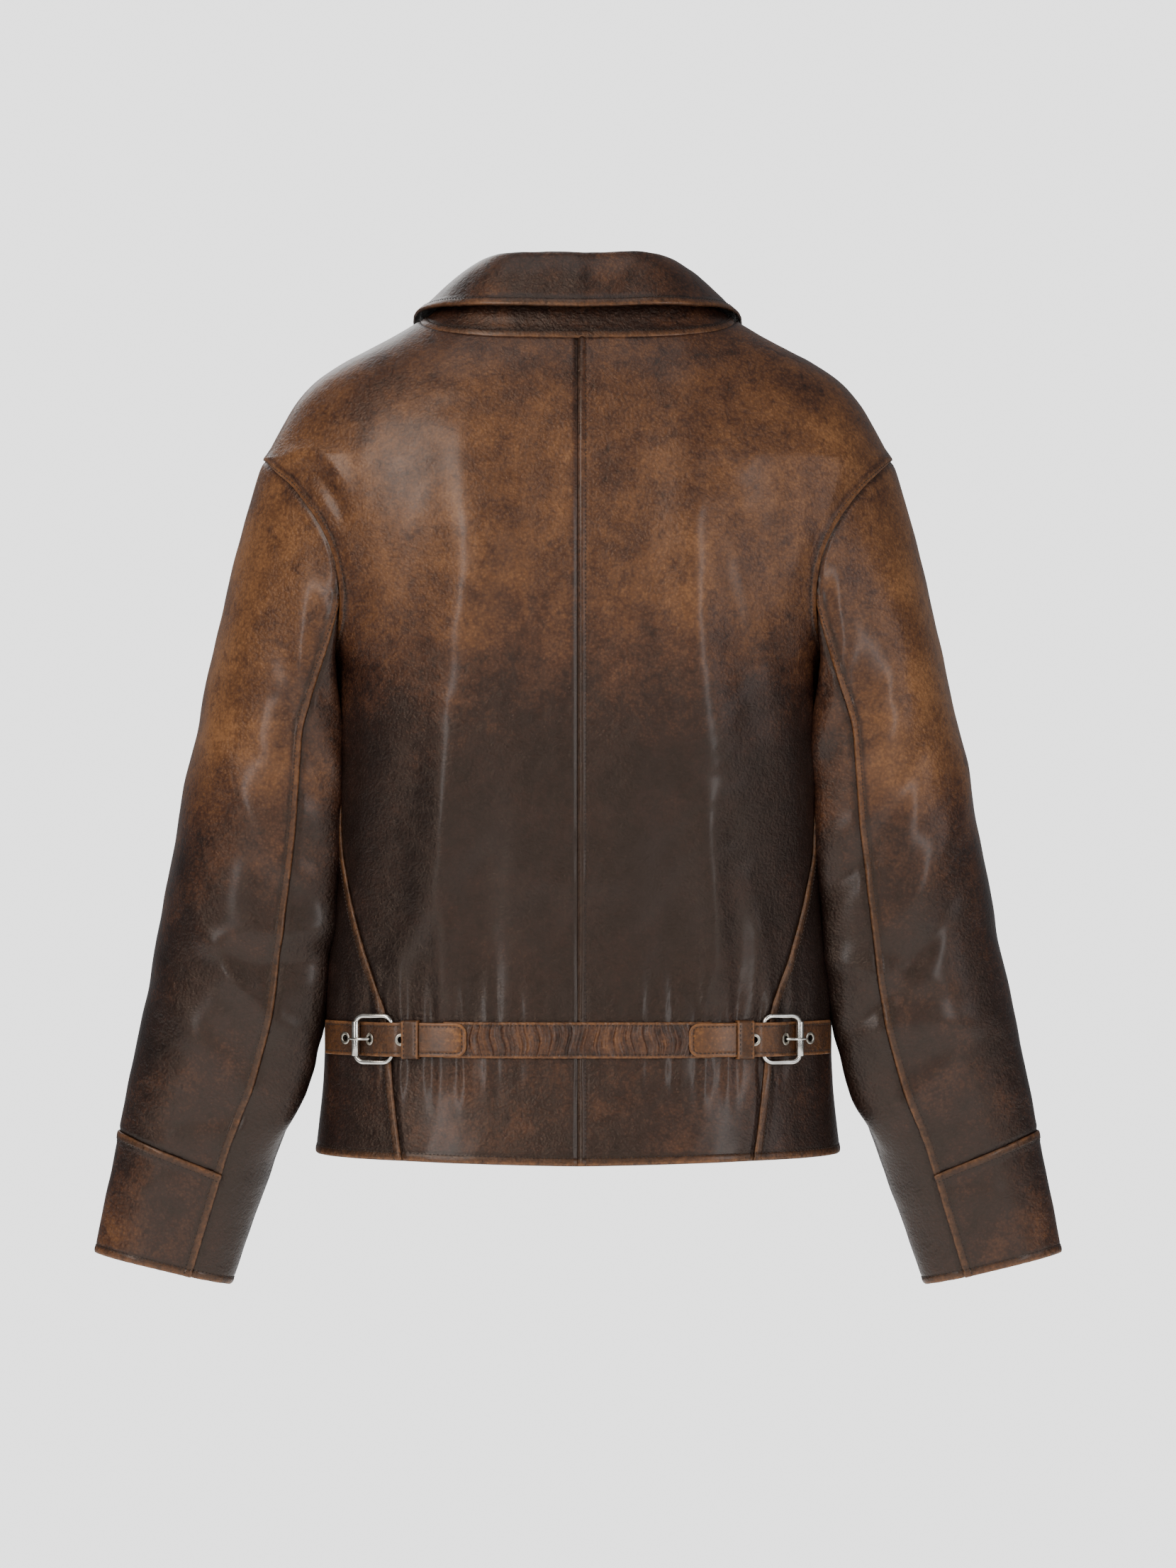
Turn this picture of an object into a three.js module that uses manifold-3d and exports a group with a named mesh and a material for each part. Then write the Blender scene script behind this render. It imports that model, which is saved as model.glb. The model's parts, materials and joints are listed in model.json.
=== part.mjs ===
// A leather riding jacket, standing upright in the shape it has when worn.
// Millimetres. +Z is up, +Y is the wearer's back, +X is the wearer's left side.
// The origin is at the hanger loop inside the back of the neck.

import * as THREE from 'three';
import { mergeVertices } from 'three/addons/utils/BufferGeometryUtils.js';
import Module from 'manifold-3d';

const wasm = await Module();
wasm.setup();

// ---------------------------------------------------------------- driving sizes

const backLength = 621;          // back neck seam to hem, at the centre
const hemRise = 7;               // the hem is this much higher at the sides
const neckHalf = 119;            // half width of the neck opening
const neckRise = 16;             // neck seam at the shoulder, above the back neck
const frontNeckDrop = 70;        // front end of the neck seam, below the back neck
const shoulderHalf = 238.5;      // half width, shoulder seam end to shoulder seam end
const shoulderDrop = 91;         // shoulder seam end, below the back neck
const armpitDrop = 245;          // bottom of the armhole, below the back neck
const chestHalf = 187;           // half width at the armpit
const middleHalf = 185;          // half width between chest and waist
const waistHalf = 193;           // half width at the waist band
const hemHalf = 200;             // half width at the hem
const beltDrop = 528;            // middle of the waist band, below the back neck
const beltLevel = 16;            // half height of the level stretch behind the waist band

const neckBackDepth = 66;        // depths are from the shoulder seam's plane
const shoulderBackDepth = 106;
const chestBackDepth = 121;
const waistBackDepth = 93;
const hemBackDepth = 104;
const neckFrontDepth = 60;
const chestFrontDepth = 98;
const hemFrontDepth = 108;

const armholeBackTurn = 38;      // degrees that the armhole cuts into the back
const armholeFrontTurn = 42;
const sideFrontTurn = -24;       // degrees of the side panel's front seam

const sleeveCuffOuter = new THREE.Vector3(371, -26, -695);
const sleeveCuffInner = new THREE.Vector3(265, -26, -720);
const sleeveBow = 6.8;           // bulge of the sleeve's outer edge
const sleeveTopHalfDepth = 78;
const cuffHalfDepth = 27;
const cuffSeamAt = 0.845;        // share of the sleeve's length above the cuff seam

const leather = 2.5;             // a folded and stitched layer of hide
const lining = 1;
const seamGap = 0.4;             // clear space between two stitched edges
const layGap = 0.3;              // clear space between two layers

const strapHalf = 12.75;         // half height of a waist strap
const bandHalf = 13.5;           // half height of the waist band
const strapThick = 2.4;
const bandThick = 2;
const bandEndX = 100;            // where the band meets the buckle tabs
const buckleX = 151;             // middle of the buckle
const strapTipX = 83;
const strapRootX = 189;
const buckleReach = 14;          // heel bar and roller bar, each side of its middle
const barRadius = 1.4;
const rollerRadius = 3;
const rollerLength = 26;
const frameHalf = 17.3;          // middle of a frame side, above the strap's middle
const frameRadius = 1.7;
const hubRadius = 2.4;
const prongRadius = 1;
const runClear = 0.3;            // running clearance of hubs and rollers
const eyeletPitch = 25;
const eyeletOffset = 2;          // eyelet that the prong goes through
const eyeletOuter = 4.75;
const eyeletInner = 2.4;
const eyeletWall = 0.3;
const flangeThick = 0.5;
const holeRadius = eyeletInner + eyeletWall + 0.15;   // strap hole that an eyelet passes through
const holeDepth = 14;
const holeSides = 14;
const keeperMiddle = -30;
const keeperHalf = 6;
const keeperThick = 1.6;

const zipEdge = 10;              // half width of the zip's opening in the leather
const chainInner = 0.7;
const chainOuter = 3;
const chainThick = 3.6;
const tapeOuter = 13;
const tapeThick = 1.1;
const sliderHalf = 5;
const sliderLength = 13;
const plateThick = 1.6;
const webHalf = 0.4;
const zipTopMargin = 8;
const zipFootMargin = 14;

const RAD = Math.PI / 180;

// ---------------------------------------------------------------- small helpers

const mix = (a, b, t) => a + (b - a) * t;
const ease = (t) => {
  const s = Math.min(Math.max(t, 0), 1);
  return s * s * (3 - 2 * s);
};

// A smooth curve through a few points that never overshoots between them.
function profile(points) {
  const last = points.length - 1;
  const secant = (i) => (points[i + 1][1] - points[i][1]) / (points[i + 1][0] - points[i][0]);
  const slopes = points.map((point, i) => {
    if (i === 0) return secant(0);
    if (i === last) return secant(last - 1);
    const product = secant(i - 1) * secant(i);
    return product <= 0 ? 0 : (2 * product) / (secant(i - 1) + secant(i));
  });
  return (x) => {
    if (x <= points[0][0]) return points[0][1];
    if (x >= points[last][0]) return points[last][1];
    const i = points.findIndex((point) => point[0] > x) - 1;
    const span = points[i + 1][0] - points[i][0];
    const t = (x - points[i][0]) / span;
    const bend = span * t * (1 - t) * ((1 - t) * slopes[i] - t * slopes[i + 1]);
    return mix(points[i][1], points[i + 1][1], ease(t)) + bend;
  };
}

const steps = (count) => Array.from({ length: count + 1 }, (unused, i) => i / count);

function meshOf(name, geometry, look) {
  const mesh = new THREE.Mesh(geometry, new THREE.MeshStandardMaterial(look));
  mesh.name = name;
  return mesh;
}

// Turns the faces outward where a mirrored or reversed piece came out inside out.
function faceOut(geometry) {
  const place = geometry.getAttribute('position');
  const index = geometry.getIndex();
  const corner = [new THREE.Vector3(), new THREE.Vector3(), new THREE.Vector3()];
  let volume = 0;
  for (let i = 0; i < index.count; i += 3) {
    corner.forEach((point, j) => point.fromBufferAttribute(place, index.getX(i + j)));
    volume += corner[0].dot(corner[1].clone().cross(corner[2]));
  }
  if (volume < 0) {
    for (let i = 0; i < index.count; i += 3) {
      const second = index.getX(i + 1);
      index.setX(i + 1, index.getX(i + 2));
      index.setX(i + 2, second);
    }
  }
  return geometry;
}

// A closed layer of cloth or hide: rows of points at two depths, joined round the edge.
// at(column, row, depth) gives a point; a ring closes on itself along its columns.
function layer(columns, rows, at, near, far, ring = false) {
  const points = [];
  const index = [];
  const size = columns.length * rows.length;
  for (const depth of [near, far]) {
    for (const row of rows) {
      for (const column of columns) points.push(...at(column, row, depth).toArray());
    }
  }
  const number = (side, i, j) => side * size + j * columns.length + (i % columns.length);
  const quad = (a, b, c, d) => index.push(a, b, c, a, c, d);
  const spans = ring ? columns.length : columns.length - 1;
  for (let j = 0; j < rows.length - 1; j += 1) {
    for (let i = 0; i < spans; i += 1) {
      quad(number(0, i, j), number(0, i + 1, j), number(0, i + 1, j + 1), number(0, i, j + 1));
      const back = [number(1, i, j), number(1, i + 1, j), number(1, i + 1, j + 1),
        number(1, i, j + 1)];
      index.push(back[0], back[2], back[1], back[0], back[3], back[2]);
    }
  }
  const end = rows.length - 1;
  for (let i = 0; i < spans; i += 1) {
    quad(number(0, i + 1, 0), number(0, i, 0), number(1, i, 0), number(1, i + 1, 0));
    quad(number(0, i, end), number(0, i + 1, end), number(1, i + 1, end), number(1, i, end));
  }
  if (!ring) {
    const side = columns.length - 1;
    for (let j = 0; j < end; j += 1) {
      quad(number(0, 0, j), number(0, 0, j + 1), number(1, 0, j + 1), number(1, 0, j));
      quad(number(0, side, j + 1), number(0, side, j), number(1, side, j), number(1, side, j + 1));
    }
  }
  const geometry = new THREE.BufferGeometry();
  geometry.setAttribute('position', new THREE.Float32BufferAttribute(points, 3));
  geometry.setIndex(index);
  return faceOut(geometry);
}

function solidOf(geometry) {
  const bare = geometry.clone();
  bare.deleteAttribute('normal');
  bare.deleteAttribute('uv');
  const merged = mergeVertices(bare, 1e-4);
  return new wasm.Manifold(new wasm.Mesh({
    numProp: 3,
    vertProperties: new Float32Array(merged.getAttribute('position').array),
    triVerts: new Uint32Array(merged.getIndex().array),
  }));
}

function geometryOf(solid) {
  const mesh = solid.getMesh();
  const geometry = new THREE.BufferGeometry();
  geometry.setAttribute('position', new THREE.Float32BufferAttribute(mesh.vertProperties, 3));
  geometry.setIndex([...mesh.triVerts]);
  return geometry;
}

const joined = (geometries) => geometryOf(
  geometries.map(solidOf).reduce((whole, piece) => whole.add(piece)),
);

// A round rod from one point to the next along a list, with ball corners.
function rod(points, radius, sides = 8) {
  const pieces = [];
  points.forEach((point, i) => {
    const ball = new THREE.SphereGeometry(radius * 1.01, sides, 4);
    pieces.push(ball.translate(...point.toArray()));
    if (i === 0) return;
    const along = point.clone().sub(points[i - 1]);
    const bar = new THREE.CylinderGeometry(radius, radius, along.length(), sides);
    const turn = new THREE.Quaternion().setFromUnitVectors(
      new THREE.Vector3(0, 1, 0),
      along.clone().normalize(),
    );
    bar.applyQuaternion(turn);
    pieces.push(bar.translate(...point.clone().add(points[i - 1]).multiplyScalar(0.5).toArray()));
  });
  return joined(pieces);
}

// ---------------------------------------------------------------- the body's outer surface

const bodyRound = 0.8;           // 1 would be an ellipse, 0 a rectangle
const neckTop = neckRise;
const shoulderZ = -shoulderDrop;
const armpitZ = -armpitDrop;
const beltZ = -beltDrop;
const hemZ = -backLength;

const shoulderLine = profile([[0, 0], [0.15, 0.226], [0.3, 0.485], [0.45, 0.68], [0.6, 0.8],
  [0.75, 0.88], [1, 1]]);
const beltTop = beltZ + beltLevel;      // the body is level behind the waist band
const beltFoot = beltZ - beltLevel;
const centreFade = beltDrop / 1.7;      // length over which rows settle level from the neck
const lowerSide = profile([[hemZ, hemHalf], [beltFoot, waistHalf], [beltTop, waistHalf],
  [mix(beltZ, armpitZ, 0.5), middleHalf], [armpitZ, chestHalf]]);

function halfWidth(z) {
  if (z >= shoulderZ) {
    return mix(neckHalf, shoulderHalf, shoulderLine((neckTop - z) / (neckTop - shoulderZ)));
  }
  if (z >= armpitZ) {
    return mix(shoulderHalf, chestHalf, ((shoulderZ - z) / (shoulderZ - armpitZ)) ** 1.5);
  }
  return lowerSide(z);
}

const backDepth = profile([[hemZ, hemBackDepth], [beltFoot, waistBackDepth], [beltTop, waistBackDepth],
  [mix(beltZ, armpitZ, 0.75), chestBackDepth - 6], [mix(armpitZ, shoulderZ, 0.4), chestBackDepth],
  [shoulderZ, shoulderBackDepth], [shoulderZ / 2, mix(neckBackDepth, shoulderBackDepth, 0.62)],
  [0, neckBackDepth], [neckTop, neckBackDepth - 14]]);

const frontSlope = (hemFrontDepth - chestFrontDepth) / (backLength - frontNeckDrop);
function frontDepth(z) {
  if (z <= -frontNeckDrop) return chestFrontDepth + (-frontNeckDrop - z) * frontSlope;
  const rise = (z + frontNeckDrop) / frontNeckDrop;
  return chestFrontDepth - (chestFrontDepth - neckFrontDepth) * rise ** 1.33;
}

// turn is 0 at the side, +90 degrees at the centre back and -90 degrees at the centre front.
function onBody(side, turn, z, depth) {
  const deep = (turn >= 0 ? backDepth(z) : frontDepth(z)) - depth;
  const across = Math.cos(turn) ** bodyRound;
  const along = Math.sign(turn) * Math.abs(Math.sin(turn)) ** bodyRound;
  return new THREE.Vector3(side * (halfWidth(z) - depth) * across, deep * along, z);
}

const turnAtX = (x, z) => Math.acos(Math.min(1, (Math.abs(x) / halfWidth(z)) ** (1 / bodyRound)));
const edgeTurn = Math.asin((seamGap / 2 / neckBackDepth) ** (1 / bodyRound));
const seamTurn = 0.0016;
const hemAt = (x) => hemZ + hemRise * (x / hemHalf) ** 2;

const backColumns = steps(6);
const frontColumns = steps(5);

// ---------------------------------------------------------------- armhole and seams

const armholeMid = (shoulderZ + armpitZ) / 2;
const armholeHalf = (shoulderZ - armpitZ) / 2;

// The armhole's edge: round is 0 at the shoulder seam, 90 degrees at the back.
function armhole(round) {
  const swing = Math.sin(round * RAD);
  return {
    turn: (swing >= 0 ? armholeBackTurn : armholeFrontTurn) * RAD * swing,
    z: armholeMid + armholeHalf * Math.cos(round * RAD),
  };
}

const backRound = [0, 23, 46, 69, 92, 113, 135.5, 158];
const underRound = [158, 180, 197.4, 214.8];
const frontRound = [360, 337, 314, 292, 272, 247, 231, 214.8];
const frontSleeveSeam = 247;
const shoulderRows = 4;          // rows of a panel that lie along its shoulder seam

const princessStart = armhole(underRound[0]);
const sideFrontStart = armhole(underRound[3]);
const princess = profile([[hemZ, 54], [mix(hemZ, beltZ, 0.7), 48.5], [beltZ + 15, 46.5],
  [mix(beltZ, armpitZ, 0.22), 37], [mix(beltZ, armpitZ, 0.37), 26.5],
  [mix(beltZ, armpitZ, 0.52), 17.5], [princessStart.z, princessStart.turn / RAD]]);

// Row heights from the armhole down; two rows edge the waist band.
const lowerLevels = (start, end) => [
  ...steps(6).slice(1).map((t) => mix(start, beltTop, t)),
  beltFoot, mix(beltFoot, end, 0.5), end,
];

const lowerRows = lowerLevels(0, 1).length;

function backOuterEdge() {
  const shoulder = [0, 0.25, 0.5, 0.75].map((t) => ({
    turn: edgeTurn,
    z: mix(neckTop, shoulderZ, t),
  }));
  const hole = backRound.map(armhole).map(({ turn, z }) => ({
    turn: Math.max(turn + seamTurn, edgeTurn),
    z,
  }));
  const end = hemAt(hemHalf * 0.66);
  const lower = lowerLevels(princessStart.z, end).map((z) => ({
    turn: princess(z) * RAD + seamTurn,
    z,
  }));
  return [...shoulder, ...hole, ...lower];
}

function frontOuterEdge() {
  const shoulder = [0, 0.25, 0.5, 0.75].map((t) => ({
    turn: -edgeTurn,
    z: mix(neckTop, shoulderZ, t),
  }));
  const hole = frontRound.map(armhole).map(({ turn, z }) => ({
    turn: Math.min(turn - seamTurn, -edgeTurn),
    z,
  }));
  const end = hemAt(hemHalf * 0.9);
  const lower = lowerLevels(sideFrontStart.z, end).map((z) => ({
    turn: sideFrontTurn * RAD - seamTurn,
    z,
  }));
  return [...shoulder, ...hole, ...lower];
}

const centreX = (back) => (back ? seamGap / 2 : zipEdge);

// The neck seam from the centre (0) to the shoulder seam (1).
function neckSeam(share, back) {
  const x = mix(centreX(back), neckHalf, Math.sin(share * 90 * RAD));
  const z = back ? neckRise * share ** 2.5
    : neckTop - (neckTop + frontNeckDrop) * Math.cos(share * 90 * RAD);
  const turn = Math.max(turnAtX(x, z), edgeTurn);
  return { turn: back ? turn : -turn, z };
}

// A panel whose rows run from the jacket's centre to its outer edge.
function panelPoint(side, outer, back) {
  const sign = back ? 1 : -1;
  const top = neckSeam(0, back);
  const last = outer[outer.length - 1];
  const rowAt = (u, row) => {
    const { turn, z } = outer[row];
    const centreZ = z + (top.z - neckTop) * (1 - ease((neckTop - z) / centreFade))
      + (hemZ - last.z) * ease((beltFoot - z) / (beltFoot - last.z));
    const centreTurn = sign * turnAtX(centreX(back), centreZ);
    return { turn: mix(centreTurn, turn, u), z: mix(centreZ, z, u) };
  };
  return (u, row, depth) => {
    const plain = rowAt(u, row);
    const first = rowAt(u, 0);
    const neck = neckSeam(u, back);
    const fade = 1 - ease(row / shoulderRows);
    const turn = plain.turn + fade * (neck.turn - first.turn);
    return onBody(side, turn, plain.z + fade * (neck.z - first.z), depth);
  };
}

function sidePanelPoint(side) {
  const backEdge = backOuterEdge().slice(-lowerRows);
  const frontEdge = frontOuterEdge().slice(-lowerRows);
  const shares = [0, 0.37, 0.7, 1];
  return (column, row, depth) => {
    if (row === 0) {
      const top = armhole(underRound[column]);
      const trim = column === 0 ? -seamTurn : (column === 3 ? seamTurn : 0);
      return onBody(side, top.turn + trim, top.z, depth);
    }
    const back = backEdge[row - 1];
    const front = frontEdge[row - 1];
    const turn = mix(back.turn - 2 * seamTurn, front.turn + 2 * seamTurn, shares[column]);
    return onBody(side, turn, mix(back.z, front.z, shares[column]), depth);
  };
}

// ---------------------------------------------------------------- sleeves

const sleeveRound = 0.88;
const shoulderPoint = onBody(1, 0, shoulderZ, 0);
const armpitPoint = onBody(1, 0, armpitZ, 0);
const sleeveClear = 3.5;         // least space from the body to the sleeve's inner edge
const sleeveInnerRun = 171;      // how far that edge would swing in at the armpit, if straight
const sleeveInnerSoft = 6;
const holeOut = new THREE.Vector3(0.95, 0, -0.31);

function sleeveSection(t) {
  const outer = shoulderPoint.clone().lerp(sleeveCuffOuter, t);
  outer.x += sleeveBow * Math.sin(Math.PI * t ** 0.55);
  const inner = armpitPoint.clone().lerp(sleeveCuffInner, t);
  const clear = halfWidth(inner.z) + sleeveClear;
  const line = sleeveCuffInner.x - (1 - t) * sleeveInnerRun;
  const apart = Math.abs(clear - line) / sleeveInnerSoft;
  inner.x = Math.max(clear, line) + sleeveInnerSoft * Math.log1p(Math.exp(-apart));
  return { outer, inner };
}

const sleeveHalfDepth = profile([[0, sleeveTopHalfDepth], [0.3, 68], [0.6, 54],
  [cuffSeamAt, 36], [1, cuffHalfDepth]]);

function sleeveSurface(round, t) {
  const { outer, inner } = sleeveSection(t);
  const middle = outer.clone().add(inner).multiplyScalar(0.5);
  const half = outer.clone().sub(inner).multiplyScalar(0.5);
  const c = Math.cos(round * RAD);
  const s = Math.sin(round * RAD);
  const point = middle.clone().addScaledVector(half, Math.sign(c) * Math.abs(c) ** sleeveRound);
  point.y += Math.sign(s) * sleeveHalfDepth(t) * Math.abs(s) ** sleeveRound;
  return { point, middle };
}

function onSleeve(side, round, t, depth) {
  const { point, middle } = sleeveSurface(round, t);
  const hole = armhole(round);
  const seam = onBody(1, hole.turn, hole.z, 0).addScaledVector(holeOut, seamGap);
  const fade = 1 - ease(t / 0.2);
  point.addScaledVector(seam.sub(sleeveSurface(round, 0).point), fade);
  point.addScaledVector(middle.sub(point).normalize(), depth);
  point.x *= side;
  return point;
}

const sleeveRows = [0, 0.07, 0.16, 0.28, 0.42, 0.56, 0.7, cuffSeamAt];
const cuffRows = [cuffSeamAt, 0.92, 1];
const topRounds = [...frontRound.slice(0, 6).reverse(), ...backRound.slice(1, 6)];
const underRounds = [...backRound.slice(5, 7), ...underRound, 231, frontSleeveSeam];
const allRounds = [...new Set([...backRound, ...underRound, 231, ...frontRound.slice(1, 6).reverse()])];
const seamDegrees = 0.25;

function sleevePart(side, rounds, rows, near, far) {
  const last = rounds.length - 1;
  const at = (column, row, depth) => {
    const trimmed = rounds[column] + (column === 0 ? seamDegrees : 0) - (column === last ? seamDegrees : 0);
    const lift = rows[row] === cuffSeamAt ? (row === 0 ? 1 : -1) * 0.0004 : 0;
    return onSleeve(side, trimmed, rows[row] + lift, depth);
  };
  return layer([...rounds.keys()], [...rows.keys()], at, near, far);
}

function sleeveLining(side, near, far) {
  const rows = [...sleeveRows, ...cuffRows.slice(1)];
  const at = (column, row, depth) => onSleeve(side, allRounds[column], rows[row], depth);
  return layer([...allRounds.keys()], [...rows.keys()], at, near, far, true);
}

// ---------------------------------------------------------------- collar

const standThick = 2.2;
const fallThick = 2.5;
const collarGap = 0.35;
const v3 = (x, y, z) => new THREE.Vector3(x, y, z);

const foldLine = new THREE.CatmullRomCurve3([
  v3(0, neckBackDepth - 16, 63), v3(0.52 * neckHalf, neckBackDepth - 28, neckTop + 46),
  v3(0.735 * neckHalf, -4, neckTop + 31), v3(0.6 * neckHalf, -neckFrontDepth + 2, 8),
  v3(0.17 * neckHalf, -chestFrontDepth + 8, -frontNeckDrop + 32),
]);
const fallEdge = new THREE.CatmullRomCurve3([
  v3(0, neckBackDepth + 8, 17), v3(0.7 * neckHalf, neckBackDepth - 7, neckTop + 3),
  v3(neckHalf + 4, 3, neckTop + 5), v3(0.97 * neckHalf, -neckFrontDepth - 8, -6),
  v3(0.5 * neckHalf, -chestFrontDepth - 12, -frontNeckDrop - 4),
]);

// Round the collar, q is 0 at the centre back, 1 at the shoulder seam and 2 at the centre front.
function collarOut(q, row = 1) {
  const swing = q * 90 * RAD;
  return v3(Math.sin(swing), Math.cos(swing), 1.05 * row).normalize();
}

function neckPoint(q) {
  const back = q <= 1;
  const { turn, z } = neckSeam(back ? q : 2 - q, back);
  return onBody(1, turn, z, 0);
}

function collarShell(name, rowAt, rows, thick, look, tilt) {
  const half = [...backColumns.slice(1), ...frontColumns.slice(1).map((t) => 1 + t)];
  const columns = [...half.map((q) => -q).reverse(), 0, ...half];
  const at = (q, row, depth) => {
    const out = collarOut(Math.abs(q), tilt(row));
    const point = rowAt(Math.abs(q), row).addScaledVector(out, -depth);
    point.x *= q < 0 ? -1 : 1;
    if (q === 0) point.x = 0;
    return point;
  };
  return meshOf(name, layer(columns, rows, at, 0, thick), look);
}

function standPoint(q, row) {
  const foot = neckPoint(q).add(v3(0, 0, seamGap));
  const inset = fallThick + collarGap;
  const top = foldLine.getPoint(q / 2).addScaledVector(collarOut(q), -inset);
  return foot.lerp(top, row);
}

function fallPoint(q, row) {
  const point = foldLine.getPoint(q / 2).lerp(fallEdge.getPoint(q / 2), row);
  return point.addScaledVector(collarOut(q), 4 * Math.sin(Math.PI * row) * (1 - row));
}

// ---------------------------------------------------------------- waist straps and buckles

// Plan position beside the waist: reach runs from the buckle's middle towards the side.
const planSteps = steps(400).map((t) => onBody(1, mix(0.004, 90 * RAD, t), beltZ, 0));
const planLength = planSteps.reduce((list, point, i) => {
  list.push(i === 0 ? 0 : list[i - 1] + point.distanceTo(planSteps[i - 1]));
  return list;
}, []);
const lengthAtX = (x) => planLength[planSteps.findIndex((point) => point.x <= x)];
const buckleLength = lengthAtX(buckleX);

function beside(reach, height, z = 0) {
  const length = buckleLength - reach;
  const i = Math.max(1, planLength.findIndex((value) => value >= length));
  const t = (length - planLength[i - 1]) / (planLength[i] - planLength[i - 1]);
  const point = planSteps[i - 1].clone().lerp(planSteps[i], t);
  const along = planSteps[i].clone().sub(planSteps[i - 1]).normalize();
  const out = v3(-along.y, along.x, 0);
  if (out.dot(point) < 0) out.negate();
  return point.addScaledVector(out, height).add(v3(0, 0, z));
}

function mirrored(side, geometry) {
  if (side > 0) return geometry;
  geometry.scale(-1, 1, 1);
  if (!geometry.getIndex()) {
    geometry.setIndex([...Array(geometry.getAttribute('position').count).keys()]);
  }
  return faceOut(geometry);
}

const tipReach = buckleLength - lengthAtX(strapTipX);
const rootReach = buckleLength - lengthAtX(strapRootX);
const bandReach = buckleLength - lengthAtX(bandEndX);
const heelHeight = hubRadius + 0.5;
const strapRest = bandThick + 2 * layGap;
const strapOverHub = heelHeight + hubRadius + 0.7;
const rollerHeight = layGap + strapThick + flangeThick + layGap + rollerRadius;
const strapLift = profile([[rootReach, layGap], [buckleReach - 3, layGap + 0.1], [8, 1.2], [4, 2.6],
  [0, 4.4], [-4, strapOverHub - 0.4], [-buckleReach - 2, strapOverHub], [-34, strapRest],
  [tipReach, strapRest]].reverse());

const strapReaches = [...steps(7).map((t) => mix(rootReach, 17, t)), 14, 11, 8, 5, 2, -1, -4, -8, -12,
  -16, -20, -24, -28, -34, -41, -48, tipReach + 12, tipReach + 7, tipReach + 3, tipReach + 1, tipReach];

function strapHalfAt(reach) {
  const fromTip = Math.min(reach - tipReach, strapHalf) / strapHalf;
  return strapHalf * Math.sqrt(Math.max(0.06, 1 - (1 - fromTip) ** 2));
}

function strapSolid() {
  const at = (reach, row, depth) => beside(
    reach,
    strapLift(reach) + strapThick - depth,
    row * strapHalfAt(reach),
  );
  const body = solidOf(layer(strapReaches, [-1, 0, 1], at, 0, strapThick));
  return eyeletReaches().reduce((solid, reach) => {
    const hole = new THREE.CylinderGeometry(holeRadius, holeRadius, holeDepth, holeSides);
    return solid.subtract(solidOf(placedOnStrap(hole, reach, 0)));
  }, body);
}

const eyeletReaches = () => [eyeletOffset + eyeletPitch, eyeletOffset, eyeletOffset - eyeletPitch];

// Turns a piece drawn along +Y so that +Y points away from the strap's face at that reach.
function placedOnStrap(geometry, reach, height) {
  const here = beside(reach, strapLift(reach) + strapThick / 2);
  const next = beside(reach - 1, strapLift(reach - 1) + strapThick / 2);
  const along = next.clone().sub(here).normalize();
  const out = v3(-along.y, along.x, 0);
  if (out.dot(here) < 0) out.negate();
  const upright = v3(0, 0, 1);
  const matrix = new THREE.Matrix4().makeBasis(out.clone().cross(upright), out, upright);
  matrix.setPosition(here.addScaledVector(out, height));
  return geometry.applyMatrix4(matrix);
}

function eyeletSolid(reach) {
  const half = strapThick / 2;
  const outline = [
    [eyeletInner, -half], [eyeletInner + eyeletWall, -half], [eyeletInner + eyeletWall, half + 0.1],
    [eyeletOuter, half + 0.1], [eyeletOuter - 0.4, half + flangeThick],
    [eyeletInner + 0.3, half + flangeThick], [eyeletInner, half + 0.2], [eyeletInner, -half],
  ].map(([x, y]) => new THREE.Vector2(x, y));
  return placedOnStrap(new THREE.LatheGeometry(outline, 14), reach, 0);
}

function flatStrip(from, to, half, low, high, count) {
  const reaches = steps(count).map((t) => mix(from, to, t));
  const at = (reach, row, depth) => beside(reach, high - depth, row * half);
  return layer(reaches, [-1, 1], at, 0, high - low);
}

function keeperSolid() {
  const inner = strapRest + strapThick + flangeThick + 2 * layGap;
  const inside = strapHalf + layGap;
  const section = [
    [-inside - keeperThick, layGap + 0.1], [-inside - keeperThick, inner + keeperThick],
    [inside + keeperThick, inner + keeperThick], [inside + keeperThick, layGap + 0.1],
    [inside, layGap + 0.1], [inside, inner], [-inside, inner], [-inside, layGap + 0.1],
  ];
  const reaches = steps(3).map((t) => keeperMiddle + mix(-keeperHalf, keeperHalf, t));
  const shape = new THREE.Shape(section.map(([z, height]) => new THREE.Vector2(z, height)));
  const settings = { depth: 1, steps: reaches.length - 1, bevelEnabled: false };
  const geometry = new THREE.ExtrudeGeometry(shape, settings);
  const place = geometry.getAttribute('position');
  for (let i = 0; i < place.count; i += 1) {
    const reach = mix(reaches[0], reaches[reaches.length - 1], place.getZ(i));
    const lift = place.getY(i) > strapRest ? strapLift(reach) - strapRest : 0;
    const point = beside(reach, place.getY(i) + lift, place.getX(i));
    place.setXYZ(i, point.x, point.y, point.z);
  }
  return faceOut(mergeVertices(stripped(geometry), 1e-4));
}

function stripped(geometry) {
  geometry.deleteAttribute('normal');
  geometry.deleteAttribute('uv');
  return geometry;
}

const heelAt = (z) => beside(-buckleReach, heelHeight, z);
const rollerAt = (z) => beside(buckleReach, rollerHeight, z);

function frameSolid() {
  const [heel, outer] = [heelAt(0), rollerAt(0)].map((middle) => {
    const bar = new THREE.CylinderGeometry(barRadius, barRadius, 2 * frameHalf, 10);
    return bar.rotateX(90 * RAD).translate(...middle.toArray());
  });
  const arms = [-frameHalf, frameHalf].map((z) => rod([heelAt(z), rollerAt(z)], frameRadius));
  return geometryOf([heel, outer, ...arms].map(solidOf).reduce((a, b) => a.add(b)));
}

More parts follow.
